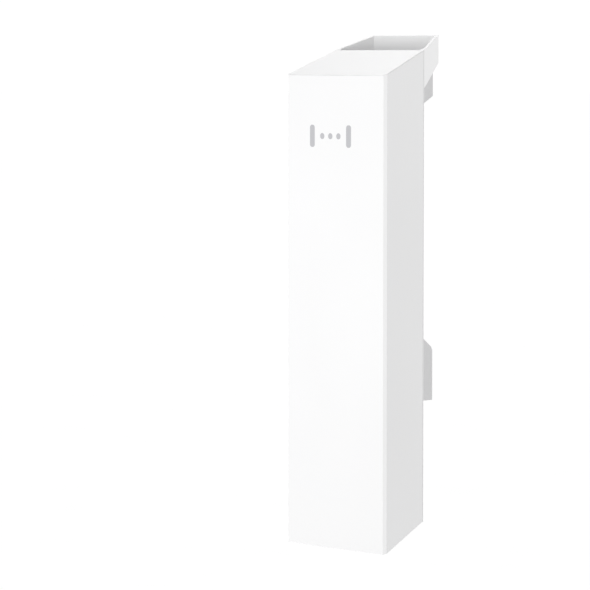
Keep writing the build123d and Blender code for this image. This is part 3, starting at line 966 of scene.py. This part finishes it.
@dataclass
class RearHardware:
    """Screws, vent, earth point, light lenses and label on the rear cover.

    Attributes:
        cap_step: Width of the raised rim of the vent's cap.
        grips: How many grip notches the cap has.
        slit: Width of its breathing slits.
        washer_thick: Thickness of the earth screw's toothed washer.
        teeth: How many teeth the washer has.
    """

    cap_step: float = 1.1 * MM
    grips: int = 14
    slit: float = 0.7 * MM
    washer_thick: float = 0.8 * MM
    teeth: int = 18

    def build(self) -> None:
        """Models the hardware."""
        self._screws()
        self._vent()
        self._earth_point()
        self._lenses()

    def dress(self) -> None:
        """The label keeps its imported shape."""
        dress(LABEL, "rating_plate")

    def _screws(self) -> None:
        """Case screws that look out of the rear, and the two groups inside that look forwards."""
        cases = solid_boxes("case_screws")
        size = cases[0][1] - cases[0][0]
        seats = [on_rear(box) for box in cases]
        head = 1.3 * MM
        Screw(Head.COUNTERSUNK, size.x / 2, head, 1.2 * MM, size.y - head).fit(
            "countersunk_case_screws", seats, STAINLESS, ["case_screws"])
        for node, name, radius, head in (("mount_screws", "pan_mount_screws", 1.2 * MM, 1.6 * MM),
                                         ("board_screws", "pan_board_screws", 1.0 * MM, 1.4 * MM)):
            boxes = solid_boxes(node)
            size = boxes[0][1] - boxes[0][0]
            seats = [on_front(box) for box in boxes]
            Screw(Head.PAN, size.x / 2, head, radius, size.y - head).fit(name, seats, STAINLESS, [node])

    def _vent(self) -> None:
        """A breathing plug: a notched cap with slits over a pale membrane, on a hollow stem."""
        low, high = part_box("vent_plug")
        radius = (high.x - low.x) / 2
        cap_high = 1.6 * MM
        stem_radius, bore = 3.9 * MM, 2.4 * MM
        cap = Workpiece.rod("vent_cap", radius, -cap_high, 0, 56)
        with cap.shaping():
            cap.round_rim(0.35 * MM, 3)
            cap.step(Way.UP, self.cap_step, -0.45 * MM)
            cap.step(Way.UP, 0.5 * MM, 0.25 * MM)
            cap.face_towards(Way.DOWN)
            cap.inset(radius - stem_radius)
            cap.extrude(Vector((0, 0, low.y - high.y + cap_high)))
            cap.inset(stem_radius - bore)
            cap.extrude(Vector((0, 0, high.y - low.y - cap_high)))
        notches = []
        for i in range(self.grips):
            angle = 2 * math.pi * i / self.grips
            at = (math.cos(angle) * radius * 1.04, math.sin(angle) * radius * 1.04)
            notches.append(Workpiece.rod("notch", 0.55 * MM, -2 * cap_high, cap_high, 12, at))
        slits = []
        for angle in (0, 60, 120):
            slit = Workpiece.block("slit", (-bore, -self.slit / 2, -2 * cap_high),
                                   (bore, self.slit / 2, cap_high))
            slit.move(Matrix.Rotation(math.radians(angle), 4, "Z"))
            slits.append(slit)
        cap.cut(*notches, *slits)
        place = on_rear((low, high))
        cap.move(place)
        cap.hand_over(TRIM_GREY, replaces=["vent_plug"])
        membrane = Workpiece.rod("vent_membrane", bore - 0.03 * MM, -1.5 * cap_high, -1.3 * cap_high)
        with membrane.shaping():
            membrane.step(Way.UP, 0.4 * MM, 0.08 * MM)
            membrane.step(Way.UP, 0.5 * MM, 0.06 * MM)
        membrane.move(place)
        membrane.hand_over(NYLON)

    def _earth_point(self) -> None:
        """A hexagon screw over a washer with teeth round its rim."""
        low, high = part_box("ground_screw")
        radius = (high.x - low.x) / 2
        seat = on_rear((low, high))
        head = 2.0 * MM
        shank = high.y - low.y - head
        Screw(Head.HEXAGON, 2.9 * MM, head, 1.9 * MM, shank).fit(
            "earth_screw", [seat], STAINLESS, ["ground_screw"])
        washer = Workpiece.rod("toothed_washer", radius, -head - self.washer_thick, -head, 2 * self.teeth)
        gap = math.pi / self.teeth
        with washer.shaping():
            washer.faces(lambda centre, normal: abs(normal.z) < 0.5
                         and math.floor(math.atan2(centre.y, centre.x) / gap) % 2 == 0)
            bpy.ops.mesh.extrude_faces_move(TRANSFORM_OT_shrink_fatten={"value": -0.45 * MM})
            washer.step(Way.UP, 0.35 * MM, -0.12 * MM)
        washer.move(seat)
        washer.hand_over(STAINLESS)

    def _lenses(self) -> None:
        """Three domed light guides that grow out of one bar inside the cover."""
        low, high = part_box("light_pipe")
        places = [middle(box) for box in solid_boxes("status_leds")]
        radius = 1.25 * MM
        bar_thick = 1.0 * MM
        bar_top = low.y + 4.4 * MM
        bar = Workpiece.block("light_guide", (low.x, bar_top - bar_thick, low.z), (high.x, bar_top, high.z))
        bar.soften(0.2 * MM)
        for place in places:
            stem = Workpiece.rod("stem", radius, -(high.y - low.y), 0, 32)
            with stem.shaping():
                stem.round_rim(radius * 0.6, 5)
            stem.move(turned(Vector((place.x, high.y, place.z)), Way.REAR.vector))
            bar.fuse(stem)
        bar.hand_over(CLEAR_GUIDE, replaces=["light_pipe"])


@dataclass
class PortBay:
    """The cable seal, the jacks and the controls under the port cover.

    Attributes:
        flange: Thickness of the seal's two flanges.
        wall: Thickness of the wall between them.
        shield: Thickness of a jack's metal shell.
        wire: Radius of a contact wire.
    """

    flange: float = 1.2 * MM
    wall: float = 2.0 * MM
    shield: float = 0.3 * MM
    wire: float = 0.17 * MM

    def build(self) -> None:
        """Models the seal, the jacks and the controls."""
        self._seal()
        for index in (1, 2, 3):
            self._jack(index)
        self._button()
        self._slider()

    def dress(self) -> None:
        """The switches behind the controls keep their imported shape."""
        dress(SWITCH_BLACK, "button_switch", "mode_switch")

    def _seal(self) -> None:
        """A rubber seal that grips the slanted base, with a collar round each cable's hole."""
        entries = [m for m in frame["record"]["mounts"] if m["name"].startswith("cable_entry")]
        axis = Vector(entries[1]["axis"])
        hole = entries[1]["dims"]["r_mm"] * MM
        outer = Vector(entries[1]["pos_m"]) + axis * entries[1]["dims"]["length_mm"] * MM / 2
        half_x, half_y = 24.0 * MM, 7.5 * MM
        groove = 2.05 * MM
        seal = Workpiece.block("cable_seal", (-half_x, -half_y, -self.flange), (half_x, half_y, 0))
        with seal.shaping():
            seal.edges(lambda a, b: (a - b).xy.length < TOUCH)
            seal.bevel(3 * MM, 6)
            seal.round_rim(0.35 * MM, 3)
            seal.step(Way.UP, 1.0 * MM, -0.3 * MM)
            seal.face_towards(Way.DOWN)
            seal.inset(groove)
            seal.extrude(Vector((0, 0, -self.wall)))
            seal.extrude(Vector((0, 0, 0)))
            grow = 1.05 * MM
            seal.resize((1 + grow / (half_x - groove), 1 + grow / (half_y - groove), 1),
                        (0, 0, -self.flange - self.wall))
            seal.extrude(Vector((0, 0, -self.flange)))
        for entry in entries:
            x = entry["pos_m"][0]
            seal.cut(Workpiece.rod("hole", hole, -10 * MM, 10 * MM, 40, (x, 0)))
            collar = Workpiece.ring("collar", hole + 0.6 * MM, 0.55 * MM, (x, 0, -0.3 * MM))
            rib = Workpiece.ring("rib", hole + 1.7 * MM, 0.22 * MM, (x, 0, -0.3 * MM))
            seal.join(collar, rib)
        seal.move(turned(outer, axis))
        seal.hand_over(SEAL_RUBBER, replaces=["cable_grommet"])

    def _jack(self, index: int) -> None:
        """One network jack: a folded metal shell round a black insert with eight sprung contacts.

        Args:
            index: Number of the jack, from the left.
        """
        node = f"lan_jack_{index}"
        low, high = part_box(node)
        centre = middle((low, high))
        shell = Workpiece.block(f"jack_shell_{index}", low, high)
        with shell.shaping():
            shell.face_towards(Way.DOWN)
            shell.inset(self.shield)
            shell.extrude(Vector((0, 0, high.z - low.z - self.shield)))
            shell.edges(lambda a, b: (a - b).xy.length < TOUCH)
            shell.bevel(0.25 * MM, 2)
        shell.hand_over(TINNED_SHEET)
        room = self.shield + 0.03 * MM
        insert = Workpiece.block(f"jack_insert_{index}", low + Vector((room, room, 0.25 * MM)),
                                 high - Vector((room, room, room)))
        mouth_y = centre.y - 0.9 * MM
        deep = low.z + 13.5 * MM
        # The mouth, the slot for the latch and its notch: half of the width, front, rear and top.
        for half, front, rear, top in ((5.9, -3.5, 3.5, deep), (3.2, 3, 5.3, deep),
                                       (1.7, 5, 6, low.z + 4 * MM)):
            insert.cut(Workpiece.block("opening", (centre.x - half * MM, mouth_y + front * MM, low.z - MM),
                                       (centre.x + half * MM, mouth_y + rear * MM, top)))
        insert.soften(0.15 * MM, 2)
        insert.hand_over(JACK_BLACK, replaces=[node])
        self._contacts(index, centre.x, mouth_y - 3.5 * MM, low.z, deep)

    def _contacts(self, index: int, x: float, wall_y: float, low: float, deep: float) -> None:
        """Eight sprung wires that fold back into a jack's mouth.

        Args:
            index: Number of the jack.
            x: Middle of the jack.
            wall_y: Y of the mouth's front wall.
            low: Z of the jack's lower end.
            deep: Z of the mouth's floor.
        """
        pitch = 1.02 * MM
        off = 0.35 * MM
        line = [(0, wall_y + off, deep - 0.05 * MM), (0, wall_y + off, low + 6 * MM),
                (0, wall_y + off, low + 4.2 * MM), (0, wall_y + 0.9 * MM, low + 3.4 * MM),
                (0, wall_y + 1.6 * MM, low + 4.6 * MM), (0, wall_y + 2.9 * MM, low + 8.5 * MM),
                (0, wall_y + 3.2 * MM, low + 10.4 * MM)]
        master = Workpiece.wire("contact_master", line, self.wire)
        places = [Matrix.Translation((x + pitch * (i - 3.5), 0, 0)) for i in range(8)]
        wires = master.repeated(f"jack_contacts_{index}", places)
        wires.hand_over(GOLD, replaces=["jack_contacts"] if index == 1 else ())

    def _button(self) -> None:
        """A push button with a dished cap and two raised dots, on its flange."""
        low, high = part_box("pair_button")
        length = high.y - low.y
        flange = 0.5 * MM
        cap_radius = 2.5 * MM
        flange_radius = (high.x - low.x) / 2
        button = Workpiece.rod("pair_button_cap", flange_radius, -length, flange - length, 48)
        with button.shaping():
            button.step(Way.UP, flange_radius - cap_radius, length - flange)
            button.round_rim(0.3 * MM, 3)
            button.step(Way.UP, 0.35 * MM, -0.2 * MM)
            button.resize((0.85, 0.85, 1), (0, 0, 0))
        dot_radius, dot_top = 0.4 * MM, -0.02 * MM
        for x in (-0.75 * MM, 0.75 * MM):
            dot = Workpiece.rod("dot", dot_radius, -flange, dot_top, 20, (x, 0))
            with dot.shaping():
                dot.edges(lambda a, b: min(a.z, b.z) > dot_top - TOUCH)
                dot.bevel(0.12 * MM, 2)
            button.join(dot)
        button.move(on_rear((low, high)))
        button.hand_over(CONTROL_GREY, Body.BUTTON, ["pair_button"])

    def _slider(self) -> None:
        """A slider knob with three grip ridges, on its plate."""
        low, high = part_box("mode_slider")
        centre = middle((low, high))
        plate = 0.5 * MM
        knob_x, knob_z = 1.3 * MM, 1.5 * MM
        base = Workpiece.block("mode_slider_knob", low, (high.x, low.y + plate, high.z))
        base.soften(0.12 * MM)
        knob = Workpiece.block("knob", (centre.x - knob_x, low.y, centre.z - knob_z),
                               (centre.x + knob_x, high.y - 0.35 * MM, centre.z + knob_z))
        base.fuse(knob)
        ridge_pitch, ridge_half, ridge_high = 0.8 * MM, 0.22 * MM, 0.6 * MM
        for step in (-1, 0, 1):
            x = centre.x + step * ridge_pitch
            ridge = Workpiece.block("ridge", (x - ridge_half, high.y - ridge_high, centre.z - knob_z),
                                    (x + ridge_half, high.y, centre.z + knob_z))
            with ridge.shaping():
                ridge.face_towards(Way.REAR)
                ridge.resize((0.5, 1, 0.92), (x, high.y, centre.z))
            base.fuse(ridge)
        base.hand_over(CONTROL_GREY, Body.SLIDER, ["mode_slider"])


@dataclass
class Electronics:
    """The main board and what is soldered to it.

    Attributes:
        sheet: Thickness of the shield cans' sheet.
        vent: Radius of their vent holes.
        vent_pitch: Distance between neighbouring vent holes.
        lead: Radius of a chip's lead.
        lead_pitch: Distance between neighbouring leads.
        chips: For each chip, X and Z of its middle, its width and its height.
    """

    sheet: float = 0.3 * MM
    vent: float = 0.6 * MM
    vent_pitch: float = 3.4 * MM
    lead: float = 0.16 * MM
    lead_pitch: float = 1.27 * MM
    chips: tuple[tuple[float, float, float, float], ...] = (
        (-12 * MM, 10 * MM, 7 * MM, 4 * MM),
        (0, 10 * MM, 5 * MM, 4 * MM),
        (11 * MM, 10 * MM, 5 * MM, 4 * MM),
    )

    def build(self) -> None:
        """Models what stands on the board."""
        for node in ("processor_shield", "radio_shield"):
            self._shield(node)
        self._capacitors()
        self._power_transformer()
        self._leaded_packages()
        self._lights()
        self._sockets()
        self._spreader()

    def dress(self) -> None:
        """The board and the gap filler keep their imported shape."""
        dress(BOARD_GREEN, "main_board")
        dress(GAP_FILLER, "thermal_pad")

    def _shield(self, node: str) -> None:
        """A folded shield can with a recessed field of vent holes.

        Args:
            node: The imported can.
        """
        low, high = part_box(node)
        can = Workpiece.block(f"perforated_{node}", low, high)
        with can.shaping():
            can.face_towards(Way.REAR)
            can.inset(self.sheet)
            can.extrude(Way.FRONT.vector * (high.y - low.y - self.sheet))
            can.edges(lambda a, b: max(a.y, b.y) < low.y + TOUCH)
            can.bevel(0.25 * MM, 3)
            can.step(Way.FRONT, 1.6 * MM, -0.12 * MM)
        margin = 3.5 * MM
        columns = int((high.x - low.x - 2 * margin) / self.vent_pitch)
        rows = int((high.z - low.z - 2 * margin) / self.vent_pitch)
        places = [Matrix.Translation(Vector((i - columns / 2, j - rows / 2, 0)) * self.vent_pitch)
                  for i in range(columns + 1) for j in range(rows + 1)]
        vents = Workpiece.rod("vent", self.vent, -MM, MM, 14).repeated("vents", places)
        vents.move(on_front((low, high)))
        can.cut(vents)
        can.hand_over(TINNED_SHEET, replaces=[node])

    def _capacitors(self) -> None:
        """Electrolytic cans with a scored top, a crimped waist and a dark sleeve."""
        boxes = solid_boxes("capacitors")
        size = boxes[0][1] - boxes[0][0]
        radius, tall = size.x / 2, size.y
        film = 0.05 * MM
        places = [on_front(box) for box in boxes]
        can = Workpiece.rod("capacitor", radius - 2 * film, -tall, 0, 48)
        with can.shaping():
            can.round_rim(0.5 * MM, 4)
        can.cut(Workpiece.ring("waist", radius + 0.15 * MM, 0.5 * MM, (0, 0, 1.3 * MM - tall)))
        for x, y in ((0.55 * radius, 0.1 * MM), (0.1 * MM, 0.55 * radius)):
            can.cut(Workpiece.block("score", (-x, -y, -0.15 * MM), (x, y, MM)))
        can.repeated("capacitor_cans", places).hand_over(CAN_ALUMINIUM, replaces=["capacitors"])
        sleeve = Workpiece.rod("sleeve", radius, 2.2 * MM - tall, -0.8 * MM, 48)
        sleeve.cut(Workpiece.rod("core", radius - film, -tall, tall, 48))
        sleeve.repeated("capacitor_sleeves", places).hand_over(SWITCH_BLACK)

    def _power_transformer(self) -> None:
        """A ferrite core whose two windows are filled by taped windings."""
        low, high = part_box("power_transformer")
        flange, window = 3.2 * MM, 3.4 * MM
        core = Workpiece.block("transformer_core", low, high)
        for side in (low.x, high.x):
            core.cut(Workpiece.block("window", (side - window, low.y - MM, low.z + flange),
                                     (side + window, high.y + MM, high.z - flange)))
        core.soften(0.25 * MM)
        core.hand_over(SWITCH_BLACK, replaces=["power_transformer"])
        gap, turn = 0.05 * MM, 1.1 * MM
        levels = int((high.z - low.z - 2 * flange - 2 * gap) / turn)
        first = low.z + flange + gap
        for name, start, end in (("transformer_winding_left", low.x + 0.4 * MM, low.x + window - gap),
                                 ("transformer_winding_right", high.x - window + gap, high.x - 0.4 * MM)):
            layer = Workpiece.block("layer", (start, low.y + 0.6 * MM, first),
                                    (end, high.y - 0.6 * MM, first + turn))
            layer.soften(0.3 * MM, 3)
            winding = layer.repeated(name, [Matrix.Translation((0, 0, i * turn)) for i in range(levels)])
            winding.hand_over(NYLON)

    def _leaded_packages(self) -> None:
        """Two line transformers and three chips, with their bent leads."""
        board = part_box("main_board")[0].y
        plain = [(middle(b).x, middle(b).z, b[1].x - b[0].x, b[1].z - b[0].z - 2.4 * MM, board - b[0].y)
                 for b in solid_boxes("lan_transformers")]
        packages = plain + [(*chip, 1.2 * MM) for chip in self.chips]
        bodies, leads = [], []
        for x, z, wide, tall, thick in packages:
            body = Workpiece.block("package", (x - wide / 2, board - thick, z - tall / 2),
                                   (x + wide / 2, board - 0.1 * MM, z + tall / 2))
            body.soften(0.18 * MM)
            dot = Workpiece.rod("dot", 0.35 * MM, -0.12 * MM, MM, 20)
            dot.move(turned(Vector((x - wide / 2 + MM, board - thick, z - tall / 2 + MM)), Way.FRONT.vector))
            body.cut(dot)
            bodies.append(body)
            exit_y = board - min(0.5 * thick, 1.4 * MM)
            side, foot_y = tall / 2, board - self.lead
            bend = Workpiece.wire("lead", [(0, exit_y, side - 0.05 * MM), (0, exit_y, side + 0.4 * MM),
                                           (0, foot_y, side + 0.5 * MM), (0, foot_y, side + 1.05 * MM)],
                                  self.lead)
            count = int((wide - MM) / self.lead_pitch)
            rows = [Matrix.Translation((x + (i - count / 2) * self.lead_pitch, 0, z))
                    for i in range(count + 1)]
            half_turn = Matrix.Rotation(math.pi, 4, "Y")
            leads.append(bend.repeated("leads", rows + [row @ half_turn for row in rows]))
        bodies[0].join(*bodies[1:])
        bodies[0].obj.name = "leaded_packages"
        bodies[0].hand_over(SWITCH_BLACK, replaces=["lan_transformers"])
        leads[0].join(*leads[1:])
        leads[0].obj.name = "package_leads"
        leads[0].hand_over(TINNED_SHEET)

    def _lights(self) -> None:
        """Small light packages with a domed lens."""
        boxes = solid_boxes("status_leds")
        low, high = (corner - middle(boxes[0]) for corner in boxes[0])
        base = Workpiece.block("light", low, (high.x, 0, high.z))
        base.soften(0.08 * MM)
        lens = Workpiece.rod("lens", 0.65 * MM, -(high.y - low.y), 0, 28)
        with lens.shaping():
            lens.round_rim(0.3 * MM, 4)
        lens.move(turned(Vector((0, high.y, 0)), Way.REAR.vector))
        base.fuse(lens)
        lights = base.repeated("domed_status_lights", [Matrix.Translation(middle(b)) for b in boxes])
        lights.hand_over(LED_LENS, replaces=["status_leds"])

    def _sockets(self) -> None:
        """Coax sockets: a square base, a barrel and a centre pin."""
        boxes = solid_boxes("coax_sockets")
        low, high = boxes[0]
        half, tall = (high.x - low.x) / 2, high.y - low.y
        socket = Workpiece.block("socket", (-half, -half, -tall), (half, half, 0.35 * MM - tall))
        socket.soften(0.06 * MM)
        barrel = Workpiece.rod("barrel", half * 0.8, 0.2 * MM - tall, 0, 32)
        with barrel.shaping():
            barrel.step(Way.UP, 0.25 * MM, -0.6 * MM)
            barrel.step(Way.UP, 0.45 * MM, 0.45 * MM)
        socket.fuse(barrel)
        places = [on_front(box) for box in boxes]
        socket.repeated("barrel_coax_sockets", places).hand_over(GOLD, replaces=["coax_sockets"])

    def _spreader(self) -> None:
        """An aluminium plate with long milled grooves in its rear face."""
        low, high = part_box("heat_spreader")
        plate = Workpiece.block("grooved_heat_spreader", low, high)
        plate.soften(0.2 * MM)
        pitch, half = 5 * MM, 0.8 * MM
        groove = Workpiece.block("groove", (-half, high.y - 0.4 * MM, low.z + 4 * MM),
                                 (half, high.y + MM, high.z - 4 * MM))
        plate.cut(groove.repeated("grooves", [Matrix.Translation((i * pitch, 0, 0)) for i in range(-2, 3)]))
        plate.hand_over(ROLLED_ALUMINIUM, replaces=["heat_spreader"])


@dataclass
class Antenna:
    """The antenna panel, its reflector and the coax leads.

    Attributes:
        notch: Width of the two notches beside a patch's feed.
        feed: Width of the feed line.
        waist: Depth of the groove round a spacer.
    """

    notch: float = 0.6 * MM
    feed: float = 1.4 * MM
    waist: float = 0.35 * MM

    def build(self) -> None:
        """Models the patches and the spacers."""
        self._patches()
        self._spacers("antenna_standoffs", "hexagon_standoffs")
        self._spacers("reflector_posts", "hexagon_reflector_posts")

    def dress(self) -> None:
        """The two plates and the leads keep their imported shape."""
        dress(BARE_LAMINATE, "antenna_board")
        dress(ROLLED_ALUMINIUM, "reflector_plate")
        dress(LEAD_BLACK, "coax_lead_1", "coax_lead_2")

    def _patches(self) -> None:
        """Notched copper patches, each with its own stub of feed line."""
        boxes = solid_boxes("antenna_patches")
        low, high = (corner - middle(boxes[0]) for corner in boxes[0])
        patch = Workpiece.block("patch", low, high)
        notch_x = self.feed / 2 + self.notch / 2
        for x in (-notch_x, notch_x):
            patch.cut(Workpiece.block("notch", (x - self.notch / 2, low.y - MM, low.z - MM),
                                      (x + self.notch / 2, high.y + MM, low.z + 6 * MM)))
        stub = Workpiece.block("stub", (-self.feed / 2, low.y, low.z - 3 * MM),
                               (self.feed / 2, high.y, low.z + MM))
        patch.fuse(stub)
        patch.soften(0.04 * MM, 1)
        patches = patch.repeated("notched_antenna_patches", [Matrix.Translation(middle(b)) for b in boxes])
        patches.hand_over(PATCH_COPPER, replaces=["antenna_patches"])

    def _spacers(self, node: str, name: str) -> None:
        """Hexagonal spacers with a groove round the middle.

        Args:
            node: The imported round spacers.
            name: Name of the new piece.
        """
        boxes = solid_boxes(node)
        size = boxes[0][1] - boxes[0][0]
        spacer = Workpiece.rod("spacer", size.x / 2, -size.y, 0, 6)
        spacer.soften(0.15 * MM)
        spacer.cut(Workpiece.ring("waist", size.x / 2 + 0.1 * MM, self.waist, (0, 0, -size.y / 2)))
        places = [on_front(box) for box in boxes]
        spacer.repeated(name, places).hand_over(NYLON, replaces=[node])


# --- Studio -----------------------------------------------------------------------------------


@dataclass(frozen=True)
class SoftBox:
    """A large soft lamp that looks at the object.

    Attributes:
        name: Name of the lamp.
        azimuth: Degrees round the object: 0 is in front, 90 on its right.
        elevation: Degrees above level.
        distance: Distance from the object.
        size: Width and height.
        power: Power in watts.
    """

    name: str
    azimuth: float
    elevation: float
    distance: float
    size: tuple[float, float]
    power: float

    def build(self, target: Vector) -> None:
        """Adds the lamp, turned towards the target."""
        turn, lift = math.radians(self.azimuth), math.radians(self.elevation)
        away = Vector((math.sin(turn) * math.cos(lift), -math.cos(turn) * math.cos(lift), math.sin(lift)))
        data = bpy.data.lights.new(self.name, "AREA")
        data.shape = "RECTANGLE"
        data.size, data.size_y = self.size
        data.energy = self.power
        lamp = bpy.data.objects.new(self.name, data)
        lamp.location = target + away * self.distance
        lamp.rotation_euler = (-away).to_track_quat("-Z", "Y").to_euler()
        bpy.context.scene.collection.objects.link(lamp)


@dataclass
class Studio:
    """A plain pale room: floor, sky, lamps and camera.

    Attributes:
        floor_z: Level of the floor, well below the object.
        floor_half: Half of the floor's width.
        floor_glow: How strongly the floor shines, like a light table.
        sky: Strength of the light from all round.
        eye: Where the camera stands.
        pitch: How far it looks down, in degrees.
        heading: How far it is turned to the left of +Y, in degrees.
        focal_ratio: Focal length over sensor width.
        shift: Shift of the lens, in sensor widths.
    """

    floor_z: float = -0.8
    floor_half: float = 200.0
    floor_glow: float = 0.51
    sky: float = 0.545
    eye: tuple[float, float, float] = (1.1109, -1.1253, 0.1383)
    pitch: float = 3.62
    heading: float = 46.5
    focal_ratio: float = 6.108
    shift: tuple[float, float] = (0.012, -0.0149)
    lamps: tuple[SoftBox, ...] = (
        SoftBox("front_low_lamp", -5, 5, 0.5, (0.3, 0.3), 0.86),
        SoftBox("rear_side_lamp", 165, 15, 1.0, (0.4, 0.4), 1.5),
        SoftBox("rear_top_lamp", 228, 50, 1.0, (0.5, 0.5), 3.1),
    )

    def build(self) -> None:
        """Builds the room."""
        bpy.context.scene.view_settings.view_transform = "Standard"
        self._floor()
        self._sky()
        target = (CAD_BOX[0] + CAD_BOX[1]) / 2
        for lamp in self.lamps:
            lamp.build(target)
        self._camera()

    def _floor(self) -> None:
        """A wide pale floor that shines softly."""
        floor = Workpiece.block("studio_floor", (-self.floor_half, -self.floor_half, self.floor_z - 0.02),
                                (self.floor_half, self.floor_half, self.floor_z))
        graph = Graph("pale_floor")
        grain = graph.noise(0.2, 2)
        tone = graph.blend(graph.spread(grain, 0, 1), (0.9, 0.9, 0.9), (0.93, 0.93, 0.93))
        material = graph.coat(tone, 0.9, Emission_Color=(1, 1, 1, 1), Emission_Strength=self.floor_glow,
                              Specular_IOR_Level=0.0)
        floor.obj.data.materials.append(material)

    def _sky(self) -> None:
        """White where it is seen, and softer as a light."""
        world = bpy.data.worlds.new("plain_sky")
        world.use_nodes = True
        bpy.context.scene.world = world
        nodes, links = world.node_tree.nodes, world.node_tree.links
        light = nodes["Background"]
        light.inputs["Color"].default_value = (1, 1, 1, 1)
        light.inputs["Strength"].default_value = self.sky
        seen = nodes.new("ShaderNodeBackground")
        seen.inputs["Color"].default_value = (1, 1, 1, 1)
        seen.inputs["Strength"].default_value = 1.02
        mix = nodes.new("ShaderNodeMixShader")
        path = nodes.new("ShaderNodeLightPath")
        links.new(path.outputs["Is Camera Ray"], mix.inputs["Fac"])
        links.new(light.outputs["Background"], mix.inputs[1])
        links.new(seen.outputs["Background"], mix.inputs[2])
        links.new(mix.outputs["Shader"], nodes["World Output"].inputs["Surface"])

    def _camera(self) -> None:
        """A long lens from the front right, a little above the middle."""
        data = bpy.data.cameras.new("camera")
        data.sensor_width = 36
        data.lens = data.sensor_width * self.focal_ratio
        data.shift_x, data.shift_y = self.shift
        data.clip_start, data.clip_end = 0.05, 100
        data.dof.use_dof = False
        camera = bpy.data.objects.new("camera", data)
        camera.location = self.eye
        camera.rotation_euler = (math.radians(90 - self.pitch), 0, math.radians(self.heading))
        bpy.context.scene.collection.objects.link(camera)
        bpy.context.scene.camera = camera


def main() -> None:
    """Builds and dresses the sub-assemblies in order, then the studio."""
    logging.basicConfig(level=logging.INFO, format="%(name)s: %(message)s")
    for assembly in (Casing(), RearHardware(), PortBay(), Electronics(), Antenna()):
        LOG.info("building %s", type(assembly).__name__)
        assembly.build()
        assembly.dress()
    Studio().build()


if __name__ == "__main__":
    main()
